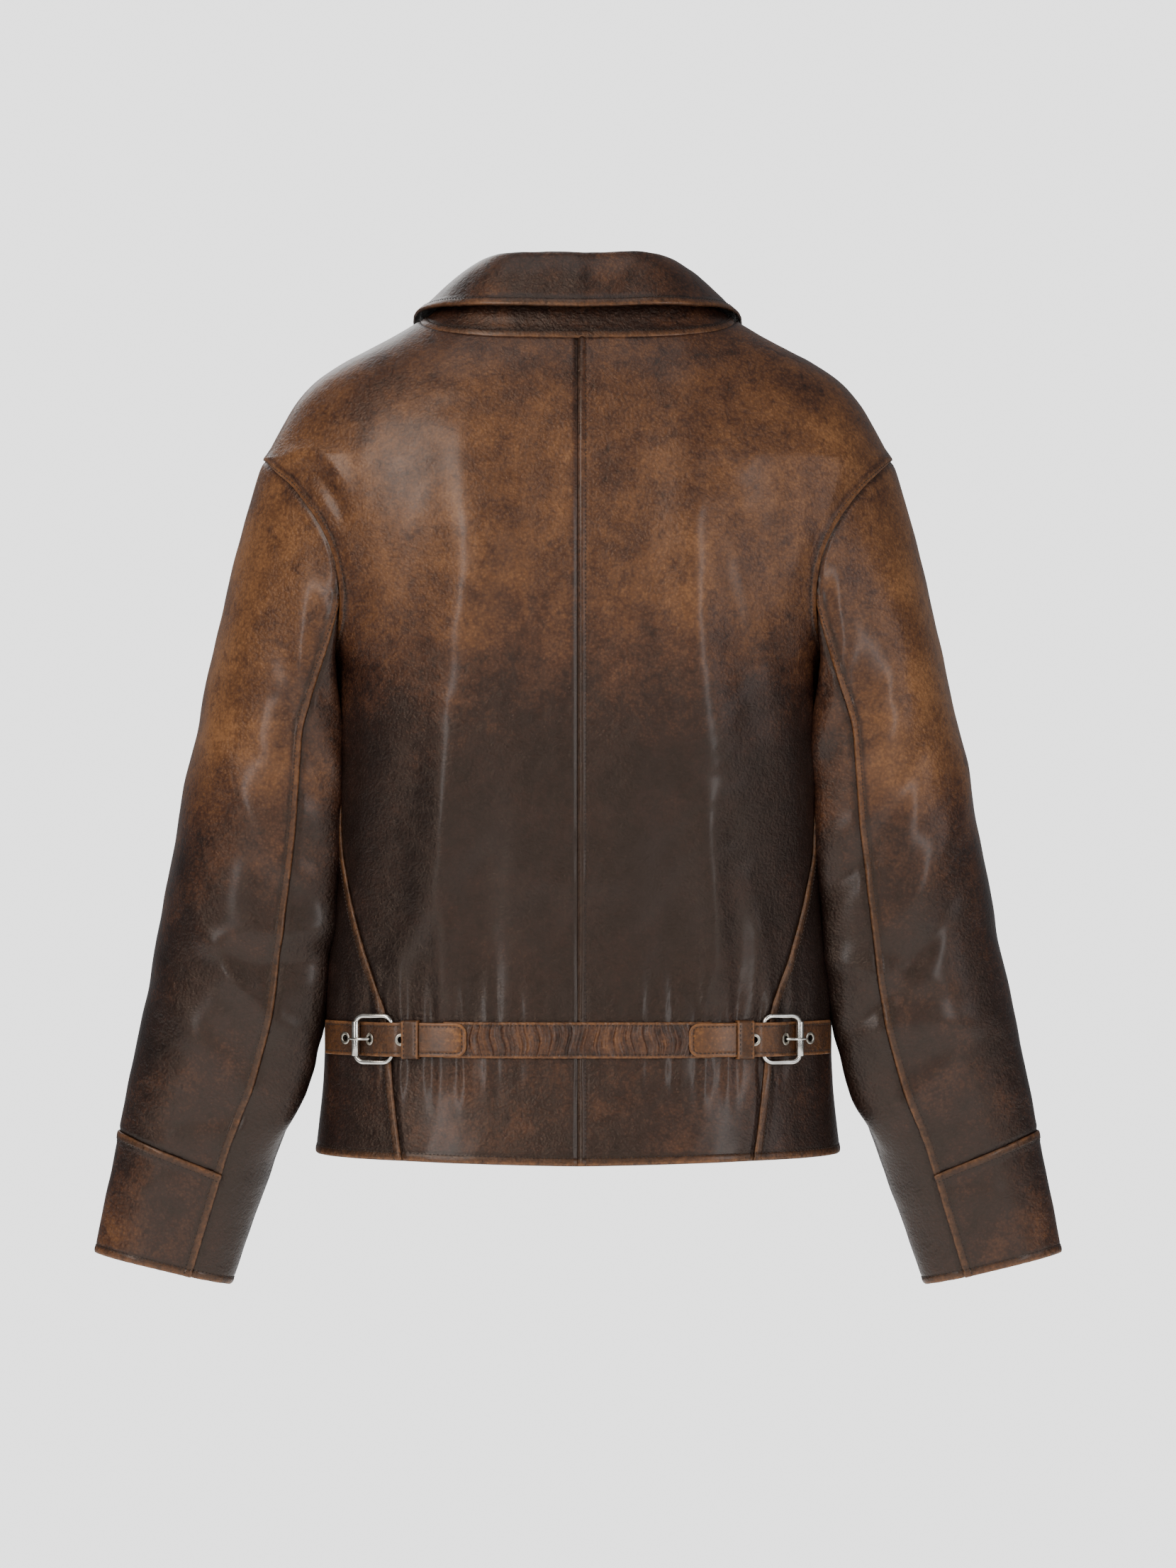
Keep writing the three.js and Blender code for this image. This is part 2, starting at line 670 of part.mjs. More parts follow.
function sleeveTube(inner, outer, length, centre) {
  const half = length / 2;
  const outline = [[inner, -half], [outer, -half], [outer, half], [inner, half], [inner, -half]];
  const tube = new THREE.LatheGeometry(outline.map(([x, y]) => new THREE.Vector2(x, y)), 16);
  tube.rotateX(90 * RAD);
  return tube.translate(...centre.toArray());
}

const prongPath = [[-12.2, 2.9], [-5, 2.3], [-2, 2], [0.3, 2.4], [2, 4.2], [3.6, 6.6], [6.5, 9],
  [10.5, rollerHeight + rollerRadius + 1.2], [14, rollerHeight + rollerRadius + prongRadius + 0.35],
  [17.5, rollerHeight + rollerRadius + 0.9]];

function prongSolid() {
  const hub = sleeveTube(barRadius + runClear, hubRadius, 4.6, heelAt(0));
  const route = new THREE.CatmullRomCurve3(prongPath.map(([reach, height]) => beside(reach, height)));
  const round = new THREE.Shape().absarc(0, 0, prongRadius, 0, 360 * RAD);
  const shaft = solidOf(new THREE.ExtrudeGeometry(round, {
    steps: 14,
    curveSegments: 4,
    extrudePath: route,
    bevelEnabled: false,
  }));
  const bore = new THREE.CylinderGeometry(barRadius + runClear, barRadius + runClear, 6, 16);
  bore.rotateX(90 * RAD).translate(...heelAt(0).toArray());
  return geometryOf(solidOf(hub).add(shaft).subtract(solidOf(bore)));
}

// ---------------------------------------------------------------- centre front zip

// Points beside the zip: inward is measured from the leather's outer face.
const zipTop = -frontNeckDrop - zipTopMargin;
const zipFoot = hemZ + zipFootMargin;
const besideZip = (x, inward, z) => v3(x, -frontDepth(z) + inward, z);

// A straight bar along the zip with the given cross-section of [x, inward] corners.
function zipBar(section, top, foot) {
  const at = (corner, row) => besideZip(...section[corner], row === 0 ? top : foot);
  const count = section.length;
  const points = [];
  const index = [];
  for (const row of [0, 1]) {
    for (let i = 0; i < count; i += 1) points.push(...at(i, row).toArray());
  }
  for (let i = 0; i < count; i += 1) {
    const next = (i + 1) % count;
    index.push(i, next, count + next, i, count + next, count + i);
  }
  const caps = THREE.ShapeUtils.triangulateShape(section.map(([x, y]) => new THREE.Vector2(x, y)), []);
  for (const [a, b, c] of caps) index.push(c, b, a, count + a, count + b, count + c);
  const geometry = new THREE.BufferGeometry();
  geometry.setAttribute('position', new THREE.Float32BufferAttribute(points, 3));
  geometry.setIndex(index);
  return faceOut(geometry);
}

const box = (x0, x1, low, high) => [[x0, low], [x1, low], [x1, high], [x0, high]];
const tapeLow = leather + layGap;
const tapeMiddle = tapeLow + tapeThick / 2;
const chainLow = tapeMiddle - chainThick / 2;
const chainHigh = tapeMiddle + chainThick / 2;
const plateOut = chainLow - runClear;
const plateIn = chainHigh + runClear;
const chainSection = box(chainInner, chainOuter, chainLow, chainHigh);
const tapeSection = box(chainOuter + layGap, tapeOuter, tapeLow, tapeLow + tapeThick);
const sliderSection = [
  [-sliderHalf, plateOut - plateThick], [sliderHalf, plateOut - plateThick], [sliderHalf, plateOut],
  [webHalf, plateOut], [webHalf, plateIn], [sliderHalf, plateIn], [sliderHalf, plateIn + plateThick],
  [-sliderHalf, plateIn + plateThick], [-sliderHalf, plateIn], [-webHalf, plateIn],
  [-webHalf, plateOut], [-sliderHalf, plateOut],
];

const sliderTop = zipTop - 3;
const pinZ = sliderTop - 5;
const pinIn = plateOut - plateThick - 1.9;
const pullerBar = 0.7;
const pullerHalf = 3.5;
const pullerRing = 9;
const pullerLength = 32;

function sliderSolid() {
  const body = zipBar(sliderSection, sliderTop, sliderTop - sliderLength);
  const arch = rod([
    besideZip(0, plateOut - plateThick + 0.3, pinZ + 3.4),
    besideZip(0, pinIn - 2, pinZ + 2),
    besideZip(0, pinIn - 2, pinZ - 2),
    besideZip(0, plateOut - plateThick + 0.3, pinZ - 3.4),
  ], 0.7);
  return geometryOf(solidOf(body).add(solidOf(arch)));
}

function pullerSolid() {
  const corners = [[-pullerHalf, 0], [pullerHalf, 0], [pullerHalf, -pullerRing],
    [-pullerHalf, -pullerRing], [-pullerHalf, 0]];
  const ring = rod(corners.map(([x, z]) => besideZip(x, pinIn, pinZ + z)), pullerBar);
  const low = pinIn - 0.8;
  const high = pinIn + 0.8;
  const tab = zipBar(box(-pullerHalf, pullerHalf, low, high), pinZ - pullerRing, pinZ - pullerLength);
  return geometryOf(solidOf(ring).add(solidOf(tab)));
}

// ---------------------------------------------------------------- the jacket

const hide = { color: 0x3a2418, roughness: 0.45, metalness: 0 };
const hideWorn = { color: 0x5e3a20, roughness: 0.42, metalness: 0 };
const satin = { color: 0x2a1c16, roughness: 0.5, metalness: 0 };
const nickel = { color: 0xb9b6ae, roughness: 0.25, metalness: 1 };
const brass = { color: 0x8a7440, roughness: 0.35, metalness: 1 };
const cotton = { color: 0x2b2320, roughness: 0.9, metalness: 0 };

const jacket = new THREE.Group();
const add = (name, geometry, look) => jacket.add(meshOf(name, geometry, look));

const sides = [['l', 1], ['r', -1]];
const backEdge = backOuterEdge();
const frontEdge = frontOuterEdge();
const backRows = [...backEdge.keys()];
const frontRows = [...frontEdge.keys()];
const facingEdge = frontColumns[1];
const liningTop = leather + layGap;
const liningFoot = liningTop + lining;
const facingTop = tapeLow + tapeThick + layGap;

for (const [tag, side] of sides) {
  const back = panelPoint(side, backEdge, true);
  const front = panelPoint(side, frontEdge, false);
  const flank = sidePanelPoint(side);
  const flankRows = [...Array(lowerRows + 1).keys()];
  add(`back_panel_${tag}`, layer(backColumns, backRows, back, 0, leather), hideWorn);
  add(`side_panel_${tag}`, layer([0, 1, 2, 3], flankRows, flank, 0, leather), hide);
  add(`front_panel_${tag}`, layer(frontColumns, frontRows, front, 0, leather), hideWorn);
  add(`back_lining_${tag}`, layer(backColumns, backRows, back, liningTop, liningFoot), satin);
  add(`side_lining_${tag}`, layer([0, 1, 2, 3], flankRows, flank, liningTop, liningFoot), satin);
  add(
    `front_lining_${tag}`,
    layer(frontColumns.slice(1), frontRows, front, liningTop, liningFoot),
    satin,
  );
  add(
    `front_facing_${tag}`,
    layer([0, facingEdge], frontRows, front, facingTop, facingTop + lining),
    hide,
  );
  add(`top_sleeve_${tag}`, sleevePart(side, topRounds, sleeveRows, 0, leather), hideWorn);
  add(`cuff_panel_${tag}`, sleevePart(side, topRounds, cuffRows, 0, leather), hide);
  add(
    `under_sleeve_${tag}`,
    sleevePart(side, underRounds, [...sleeveRows, ...cuffRows.slice(1)], 0, leather),
    hide,
  );
  add(`sleeve_lining_${tag}`, sleeveLining(side, liningTop, liningFoot), satin);

  add(`waist_strap_${tag}`, mirrored(side, geometryOf(strapSolid())), hide);
  add(
    `buckle_tab_${tag}`,
    mirrored(side, flatStrip(-buckleReach - hubRadius - 1, bandReach + layGap, strapHalf, layGap,
      layGap + bandThick, 6)),
    hide,
  );
  add(`strap_keeper_${tag}`, mirrored(side, keeperSolid()), hide);
  add(`buckle_frame_${tag}`, mirrored(side, frameSolid()), nickel);
  const rollerSolid = sleeveTube(barRadius + runClear, rollerRadius, rollerLength, rollerAt(0));
  add(`buckle_roller_${tag}`, mirrored(side, rollerSolid), nickel);
  add(`buckle_prong_${tag}`, mirrored(side, prongSolid()), nickel);
  eyeletReaches().forEach((reach, i) => {
    add(`strap_eyelet_${tag}${i + 1}`, mirrored(side, eyeletSolid(reach)), brass);
  });

  add(`zip_tape_${tag}`, mirrored(side, zipBar(tapeSection, zipTop, zipFoot)), cotton);
  add(`zip_chain_${tag}`, mirrored(side, zipBar(chainSection, zipTop, zipFoot)), brass);
}

jacket.add(collarShell('collar_stand', standPoint, steps(2), standThick, hideWorn, (row) => row));
jacket.add(collarShell('collar_fall', fallPoint, steps(3), fallThick, hideWorn, () => 1));

// The band crosses the centre back between the two buckle tabs.
const bandCount = 10;
const centreLength = lengthAtX(0.5);
const bandReaches = steps(bandCount).map((t) => mix(bandReach, buckleLength - centreLength, t));
function bandPoint(column, row, depth) {
  const k = Math.abs(column);
  const point = beside(bandReaches[bandCount - k], layGap + bandThick - depth, row * bandHalf);
  point.x = k === 0 ? 0 : point.x * Math.sign(column);
  return point;
}
const bandColumns = Array.from({ length: 2 * bandCount + 1 }, (unused, i) => i - bandCount);
add('waist_band', layer(bandColumns, [-1, 1], bandPoint, 0, bandThick), hide);

add('zip_slider', sliderSolid(), nickel);
add('zip_puller', pullerSolid(), nickel);
const stopSection = box(-4.5, 4.5, chainLow - 0.6, chainHigh + 0.6);
add('zip_bottom_box', zipBar(stopSection, zipFoot - layGap, zipFoot - 9), nickel);

// Inside the neck: the facing, and the loop that the jacket hangs from.
const facingHalf = 62;
const facingDrop = 44;
const neckFacingTop = liningFoot + 1.6;
function neckFacingPoint(column, row, depth) {
  const x = Math.abs(column) * facingHalf;
  const z = -3 - row * facingDrop * Math.sqrt(1 - 0.75 * column * column);
  return onBody(Math.sign(column) || 1, turnAtX(x, z), z, depth);
}
add(
  'back_neck_facing',
  layer(steps(10).map((t) => 2 * t - 1), steps(3), neckFacingPoint, neckFacingTop, neckFacingTop + 1.2),
  hide,
);

const loopHalf = 32;
const loopRise = 12;
const loopHeight = 8;
const loopThick = 1.6;
const loopZ = -8;
const loopFace = backDepth(loopZ + loopHeight / 2) - neckFacingTop - 1.2 - 2 * layGap;
function loopPoint(column, row, depth) {
  const bow = loopRise * (1 - Math.abs(column) ** 2.4);
  return v3(column * loopHalf, loopFace - bow - depth, loopZ + row * loopHeight / 2);
}
add('hanger_loop', layer(steps(10).map((t) => 2 * t - 1), [-1, 1], loopPoint, 0, loopThick), hide);

// The origin is the middle of the loop's outer face.
jacket.position.set(0, -(loopFace - loopRise), -loopZ);

export default jacket;
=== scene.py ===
# %% [markdown]
# # A leather riding jacket
# The jacket is cut from worn brown hide, waxed and rubbed until the shoulders and upper
# sleeves went tan while the lower body stayed dark. This file dresses the jacket's
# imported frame: each panel, strap and buckle is made here as its own piece, in its own
# place, and rides on the body that carries it.

# %% The frame and the tools
import json
import math

import bmesh
import bpy
import numpy as np
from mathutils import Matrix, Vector


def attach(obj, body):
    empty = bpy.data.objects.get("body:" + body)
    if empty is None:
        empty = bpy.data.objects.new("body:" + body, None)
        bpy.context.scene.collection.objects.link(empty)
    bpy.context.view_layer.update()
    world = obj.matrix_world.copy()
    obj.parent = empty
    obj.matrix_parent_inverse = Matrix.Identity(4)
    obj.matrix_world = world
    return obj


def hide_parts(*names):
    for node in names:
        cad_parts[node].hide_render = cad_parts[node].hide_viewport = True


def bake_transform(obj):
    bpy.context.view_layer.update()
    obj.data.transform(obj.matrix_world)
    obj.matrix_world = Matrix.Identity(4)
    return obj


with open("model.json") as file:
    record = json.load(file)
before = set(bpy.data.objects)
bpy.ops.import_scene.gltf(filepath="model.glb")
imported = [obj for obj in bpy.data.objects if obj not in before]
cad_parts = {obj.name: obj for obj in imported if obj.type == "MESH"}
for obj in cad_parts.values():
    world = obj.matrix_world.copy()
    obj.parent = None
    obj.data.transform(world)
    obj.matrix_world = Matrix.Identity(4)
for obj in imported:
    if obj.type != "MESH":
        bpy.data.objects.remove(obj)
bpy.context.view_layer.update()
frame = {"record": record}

SIDES = ((1, "l"), (-1, "r"))

# %% [markdown]
# ## The cut
# A jacket is drafted from a few body sizes. The body here is a stack of rounded
# rectangles, one for each height, so a place on it is a turn round the body and a
# height. All of this draft is in millimetres, measured from the back neck seam, and
# the frame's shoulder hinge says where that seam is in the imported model.

# %% Sizes of the draft, in millimetres
BACK_LENGTH = 621
HEM_RISE = 7
NECK_HALF = 119
NECK_RISE = 16
FRONT_NECK_DROP = 70
SHOULDER_HALF = 238.5
SHOULDER_DROP = 91
ARMPIT_DROP = 245
CHEST_HALF = 187
MIDDLE_HALF = 185
WAIST_HALF = 193
HEM_HALF = 200
BELT_DROP = 528
BACK_DEPTHS = dict(neck=66, shoulder=106, chest=121, waist=93, hem=104)
FRONT_DEPTHS = dict(neck=60, chest=98, hem=108)
ARMHOLE_TURN = dict(back=38, front=42)
SIDE_FRONT_TURN = -24
CUFF_OUTER = np.array([371.0, -26.0, -695.0])
CUFF_INNER = np.array([265.0, -26.0, -720.0])
SLEEVE_BOW = 6.8
SLEEVE_TOP_HALF_DEPTH = 78
CUFF_HALF_DEPTH = 27
CUFF_SEAM_AT = 0.845
BACK_SLEEVE_SEAM = 113
FRONT_SLEEVE_SEAM = 247
ZIP_EDGE = 10
BODY_ROUND = 0.8
SLEEVE_ROUND = 0.88
HIDE = 1.9

shoulder_joint = next(
    joint for joint in frame["record"]["behaviour"]["joints"] if joint["name"] == "sleeve_l_lift"
)
SHIFT = np.array([0, shoulder_joint["pos_m"][1] * 1000, shoulder_joint["pos_m"][2] * 1000 + SHOULDER_DROP])
print("back neck seam in the frame, mm:", SHIFT.round(2))


# %% Smooth curves through a few points
def mix(a, b, t):
    return a + (b - a) * t


def ease(t):
    s = np.clip(t, 0, 1)
    return s * s * (3 - 2 * s)


def bell(distance, width):
    return np.exp(-((distance / width) ** 2))


def rolled(distance, radius):
    """A quarter round, 0 at an edge and 1 from its radius inwards."""
    return np.sqrt(np.clip(1 - (1 - np.clip(distance / radius, 0, 1)) ** 2, 0, 1))


def run_along(line):
    """The distance run along a line of points, at each of them."""
    return np.concatenate([[0], np.cumsum(np.linalg.norm(np.diff(line, axis=0), axis=1))])


def place_at(distance, run, line):
    """The places at given distances along a line of points."""
    return np.stack([np.interp(distance, run, line[:, k]) for k in range(line.shape[1])], axis=-1)


def profile(points):
    """A smooth curve through a few points that never overshoots between them."""
    xs = np.array([p[0] for p in points], float)
    ys = np.array([p[1] for p in points], float)
    secants = np.diff(ys) / np.diff(xs)
    slopes = np.zeros(len(xs))
    slopes[0], slopes[-1] = secants[0], secants[-1]
    for i in range(1, len(xs) - 1):
        product = secants[i - 1] * secants[i]
        slopes[i] = 0 if product <= 0 else 2 * product / (secants[i - 1] + secants[i])

    def value(x):
        x = np.clip(np.asarray(x, float), xs[0], xs[-1])
        i = np.clip(np.searchsorted(xs, x, side="right") - 1, 0, len(xs) - 2)
        span = xs[i + 1] - xs[i]
        t = (x - xs[i]) / span
        bend = span * t * (1 - t) * ((1 - t) * slopes[i] - t * slopes[i + 1])
        return mix(ys[i], ys[i + 1], ease(t)) + bend

    return value


# %% The body's outer surface
NECK_TOP = NECK_RISE
SHOULDER_Z = -SHOULDER_DROP
ARMPIT_Z = -ARMPIT_DROP
BELT_Z = -BELT_DROP
BELT_TOP = BELT_Z + 16
BELT_FOOT = BELT_Z - 16
HEM_Z = -BACK_LENGTH

shoulder_line = profile([(0, 0), (0.15, 0.226), (0.3, 0.485), (0.45, 0.68), (0.6, 0.8),
                         (0.75, 0.88), (1, 1)])
lower_side = profile([(HEM_Z, HEM_HALF), (BELT_FOOT, WAIST_HALF), (BELT_TOP, WAIST_HALF),
                      (mix(BELT_Z, ARMPIT_Z, 0.5), MIDDLE_HALF), (ARMPIT_Z, CHEST_HALF)])
back_depth = profile([
    (HEM_Z, BACK_DEPTHS["hem"]), (BELT_FOOT, BACK_DEPTHS["waist"]), (BELT_TOP, BACK_DEPTHS["waist"]),
    (mix(BELT_Z, ARMPIT_Z, 0.75), BACK_DEPTHS["chest"] - 6),
    (mix(ARMPIT_Z, SHOULDER_Z, 0.4), BACK_DEPTHS["chest"]), (SHOULDER_Z, BACK_DEPTHS["shoulder"]),
    (SHOULDER_Z / 2, mix(BACK_DEPTHS["neck"], BACK_DEPTHS["shoulder"], 0.62)),
    (0, BACK_DEPTHS["neck"]), (NECK_TOP, BACK_DEPTHS["neck"] - 14),
])


def half_width(z):
    z = np.asarray(z, float)
    upper = mix(NECK_HALF, SHOULDER_HALF, shoulder_line((NECK_TOP - z) / (NECK_TOP - SHOULDER_Z)))
    drop = np.clip((SHOULDER_Z - z) / (SHOULDER_Z - ARMPIT_Z), 0, 1)
    middle = mix(SHOULDER_HALF, CHEST_HALF, drop ** 1.5)
    return np.where(z >= SHOULDER_Z, upper, np.where(z >= ARMPIT_Z, middle, lower_side(z)))


def front_depth(z):
    z = np.asarray(z, float)
    slope = (FRONT_DEPTHS["hem"] - FRONT_DEPTHS["chest"]) / (BACK_LENGTH - FRONT_NECK_DROP)
    rise = np.clip((z + FRONT_NECK_DROP) / FRONT_NECK_DROP, 0, None)
    upper = FRONT_DEPTHS["chest"] - (FRONT_DEPTHS["chest"] - FRONT_DEPTHS["neck"]) * rise ** 1.33
    return np.where(z <= -FRONT_NECK_DROP, FRONT_DEPTHS["chest"] + (-FRONT_NECK_DROP - z) * slope, upper)


def on_body(turn, z, depth=0.0):
    """A point of the left half; turn is 0 at the side and 90 degrees at the centre back."""
    turn, z = np.broadcast_arrays(np.asarray(turn, float), np.asarray(z, float))
    deep = np.where(turn >= 0, back_depth(z), front_depth(z)) - depth
    across = np.abs(np.cos(turn)) ** BODY_ROUND
    along = np.sign(turn) * np.abs(np.sin(turn)) ** BODY_ROUND
    return np.stack([(half_width(z) - depth) * across, deep * along, z], axis=-1)


def turn_at_x(x, z):
    return np.arccos(np.clip((np.abs(x) / half_width(z)) ** (1 / BODY_ROUND), 0, 1))


def hem_at(x):
    return HEM_Z + HEM_RISE * (x / HEM_HALF) ** 2


# %% The armhole and the curved back seam
ARMHOLE_MID = (SHOULDER_Z + ARMPIT_Z) / 2
ARMHOLE_HALF = (SHOULDER_Z - ARMPIT_Z) / 2
PRINCESS_ROUND = 158
SIDE_FRONT_ROUND = 214.8
SHOULDER_ROWS, ARMHOLE_ROWS, LOWER_ROWS = 40, 60, 110
BACK_HEM_AT, FRONT_HEM_AT = 0.66, 0.9   # where the side panel meets the hem, as shares of its half width
ROW_SLOPE = 8            # a row leaves the armhole on this slope, so that rows never cross


def armhole(round_degrees):
    a = np.radians(np.asarray(round_degrees, float))
    swing = np.sin(a)
    turn = np.where(swing >= 0, ARMHOLE_TURN["back"], ARMHOLE_TURN["front"]) * np.pi / 180 * swing
    return turn, ARMHOLE_MID + ARMHOLE_HALF * np.cos(a)


princess_start = armhole(PRINCESS_ROUND)
side_front_start = armhole(SIDE_FRONT_ROUND)
princess = profile([
    (HEM_Z, 54), (mix(HEM_Z, BELT_Z, 0.7), 48.5), (BELT_Z + 15, 46.5),
    (mix(BELT_Z, ARMPIT_Z, 0.22), 37), (mix(BELT_Z, ARMPIT_Z, 0.37), 26.5),
    (mix(BELT_Z, ARMPIT_Z, 0.52), 17.5), (float(princess_start[1]), math.degrees(princess_start[0])),
])


def outer_edge(back):
    """The panel's outer edge as turns and heights: shoulder, armhole, then side seam."""
    shoulder_z = np.linspace(NECK_TOP, SHOULDER_Z, SHOULDER_ROWS)[:-1]
    first, last = (0, PRINCESS_ROUND) if back else (360, SIDE_FRONT_ROUND)
    rounds = np.linspace(first, last, ARMHOLE_ROWS)
    hole_turn, hole_z = armhole(rounds)
    start = princess_start if back else side_front_start
    end = hem_at(HEM_HALF * (BACK_HEM_AT if back else FRONT_HEM_AT))
    lower_z = np.linspace(float(start[1]), end, LOWER_ROWS)[1:]
    straight = np.full(lower_z.shape, SIDE_FRONT_TURN)
    lower_turn = np.radians(princess(lower_z) if back else straight)
    turn = np.concatenate([np.zeros(shoulder_z.shape), hole_turn, lower_turn])
    return turn, np.concatenate([shoulder_z, hole_z, lower_z])


def neck_seam(share, back):
    x = mix(0.0 if back else ZIP_EDGE, NECK_HALF, np.sin(share * np.pi / 2))
    fall = NECK_TOP - (NECK_TOP + FRONT_NECK_DROP) * np.cos(share * np.pi / 2)
    z = NECK_RISE * share ** 2.5 if back else fall
    turn = turn_at_x(x, z)
    return (turn if back else -turn), z


def front_or_back(back):
    """A fine net of points over the left back or front panel, rows from neck to hem."""
    turn, z = outer_edge(back)
    u = np.linspace(0, 1, 90)[None, :]
    sign = 1 if back else -1
    centre_x = 0.0 if back else ZIP_EDGE
    edge_line = on_body(turn, z)
    run = run_along(edge_line)
    tip = SHOULDER_ROWS - 1
    inmost, start = tip + ARMHOLE_ROWS // 2, tip + ARMHOLE_ROWS - 1
    centre_z = profile([
        (0, float(neck_seam(0.0, back)[1])), (run[tip], SHOULDER_Z + ROW_SLOPE),
        (run[inmost], ARMHOLE_MID), (run[start], z[start] - ROW_SLOPE), (run[-1], HEM_Z),
    ])(run)
    centre_turn = sign * turn_at_x(centre_x, centre_z)
    rows_turn = mix(centre_turn[:, None], turn[:, None], u)
    rows_z = mix(centre_z[:, None], z[:, None], u)
    neck_turn, neck_z = neck_seam(u[0], back)
    fade = 1 - ease(np.clip((NECK_TOP - z) / (NECK_TOP - SHOULDER_Z), 0, 1))[:, None]
    rows_turn = rows_turn + fade * (neck_turn - rows_turn[0])
    rows_z = rows_z + fade * (neck_z - rows_z[0])
    return on_body(rows_turn, rows_z)


def side_net():
    share = np.linspace(0, 1, 60)
    rounds = mix(PRINCESS_ROUND, SIDE_FRONT_ROUND, share)
    top_turn, top_z = armhole(rounds)
    down = np.linspace(0, 1, LOWER_ROWS)[:, None]
    back_z = mix(float(princess_start[1]), hem_at(HEM_HALF * BACK_HEM_AT), down)
    front_z = mix(float(side_front_start[1]), hem_at(HEM_HALF * FRONT_HEM_AT), down)
    back_turn = np.radians(princess(back_z))
    front_turn = math.radians(SIDE_FRONT_TURN)
    spread = (princess_start[0] - top_turn) / (princess_start[0] - front_turn)
    turn = mix(back_turn, front_turn, spread[None, :])
    flat_top = mix(back_z[0], front_z[0], spread[None, :])
    z = mix(back_z, front_z, spread[None, :]) + (top_z[None, :] - flat_top) * (1 - ease(down / 0.3))
    return on_body(turn, z)


# %% The sleeves' outer surface
HOLE_OUT = np.array([0.95, 0.0, -0.31])
shoulder_point = on_body(0, SHOULDER_Z)
armpit_point = on_body(0, ARMPIT_Z)
sleeve_half_depth = profile([(0, SLEEVE_TOP_HALF_DEPTH), (0.3, 68), (0.6, 54),
                             (CUFF_SEAM_AT, 36), (1, CUFF_HALF_DEPTH)])


def sleeve_oval(rounds, t):
    rounds, t = np.broadcast_arrays(np.asarray(rounds, float), np.asarray(t, float))
    share = t[..., None]
    outer = mix(shoulder_point, CUFF_OUTER, share)
    outer[..., 0] += SLEEVE_BOW * np.sin(np.pi * t ** 0.55)
    inner = mix(armpit_point, CUFF_INNER, share)
    clear = half_width(inner[..., 2]) + 3.5
    line = CUFF_INNER[0] - (1 - t) * 171
    inner[..., 0] = np.maximum(clear, line) + 6 * np.log1p(np.exp(-np.abs(clear - line) / 6))
    middle, half = (outer + inner) / 2, (outer - inner) / 2
    c, s = np.cos(np.radians(rounds)), np.sin(np.radians(rounds))
    point = middle + half * (np.sign(c) * np.abs(c) ** SLEEVE_ROUND)[..., None]
    point[..., 1] += np.sign(s) * sleeve_half_depth(t) * np.abs(s) ** SLEEVE_ROUND
    return point, middle


def on_sleeve(rounds, t):
    """A point of the left sleeve: rounds as on the armhole, t from shoulder to cuff."""
    point, _ = sleeve_oval(rounds, t)
    turn, z = armhole(rounds)
    seam = on_body(turn, z)
    first, _ = sleeve_oval(rounds, 0.0)
    fade = (1 - ease(np.asarray(t, float) / 0.2))
    return point + (seam - first) * np.broadcast_to(fade, point.shape[:-1])[..., None]


print("half chest at the armpit:", half_width(ARMPIT_Z), "sleeve at the cuff:", on_sleeve(0.0, 1.0).round(1))

# %% [markdown]
# ## Folds
# Leather on a body falls in long soft folds. They could be simulated, but a stiff hide
# that has been worn for years keeps its folds in the same places, so here each fold is
# a ridge or a hollow along a short line, listed one by one and shared by all the panels
# it crosses. Every height is in millimetres.

# %% Folds of the back, drawn on the left-right and up-down plane
# Each fold: points of its line, its half width, its height at the middle.
BACK_FOLDS = [
    ([(88, -45), (84, -110), (80, -165), (90, -230), (97, -290)], 24, 6.4),
    ([(97, -280), (101, -350), (104, -410), (100, -470), (96, -512)], 15, 6.0),
    ([(60, -70), (57, -130), (58, -200)], 13, 1.4),
    ([(-84, -50), (-84, -120), (-86, -190), (-95, -270), (-110, -345)], 23, 6.4),
    ([(-96, -350), (-100, -410), (-103, -460), (-98, -512)], 13, 5.4),
    ([(-108, -130), (-128, -200), (-148, -280), (-162, -345)], 13, 2.4),
    ([(-118, -390), (-134, -450), (-138, -510)], 10, 2.4),
    ([(122, -380), (118, -430), (134, -470), (142, -508)], 10, 2.6),
    ([(132, -210), (140, -300), (150, -370)], 20, 2.2),
    ([(0, -180), (0, -300), (0, -420)], 46, -4.4),
    ([(62, -330), (66, -420), (66, -505)], 14, -2.2),
    ([(-62, -330), (-66, -420), (-66, -505)], 14, -2.2),
    ([(229, -104), (212, -90), (196, -88), (184, -98), (176, -118)], 7, 3.0),
    ([(214, -112), (200, -104), (188, -112), (178, -135), (172, -160)], 6, -2.6),
    ([(199, -122), (186, -130), (176, -150), (166, -185)], 7, 2.2),
    ([(-222, -100), (-206, -98), (-194, -112), (-186, -140)], 8, 1.8),
    ([(160, -150), (150, -200), (152, -260)], 15, 1.8),
    ([(-165, -150), (-160, -200), (-164, -260)], 15, 1.6),
]
FRONT_FOLDS = [
    ([(100, -120), (96, -220), (104, -330)], 24, 3.5),
    ([(110, -380), (104, -450), (112, -520)], 14, 3.0),
    ([(-98, -110), (-94, -230), (-106, -340)], 24, 3.5),
    ([(-112, -390), (-106, -450), (-110, -520)], 14, 3.0),
    ([(150, -150), (160, -220), (158, -300)], 13, 2.4),
    ([(-154, -150), (-160, -230), (-156, -310)], 13, 2.4),
    ([(45, -200), (42, -330), (46, -450)], 18, -2.0),
    ([(-45, -220), (-42, -330), (-46, -440)], 18, -2.0),
]


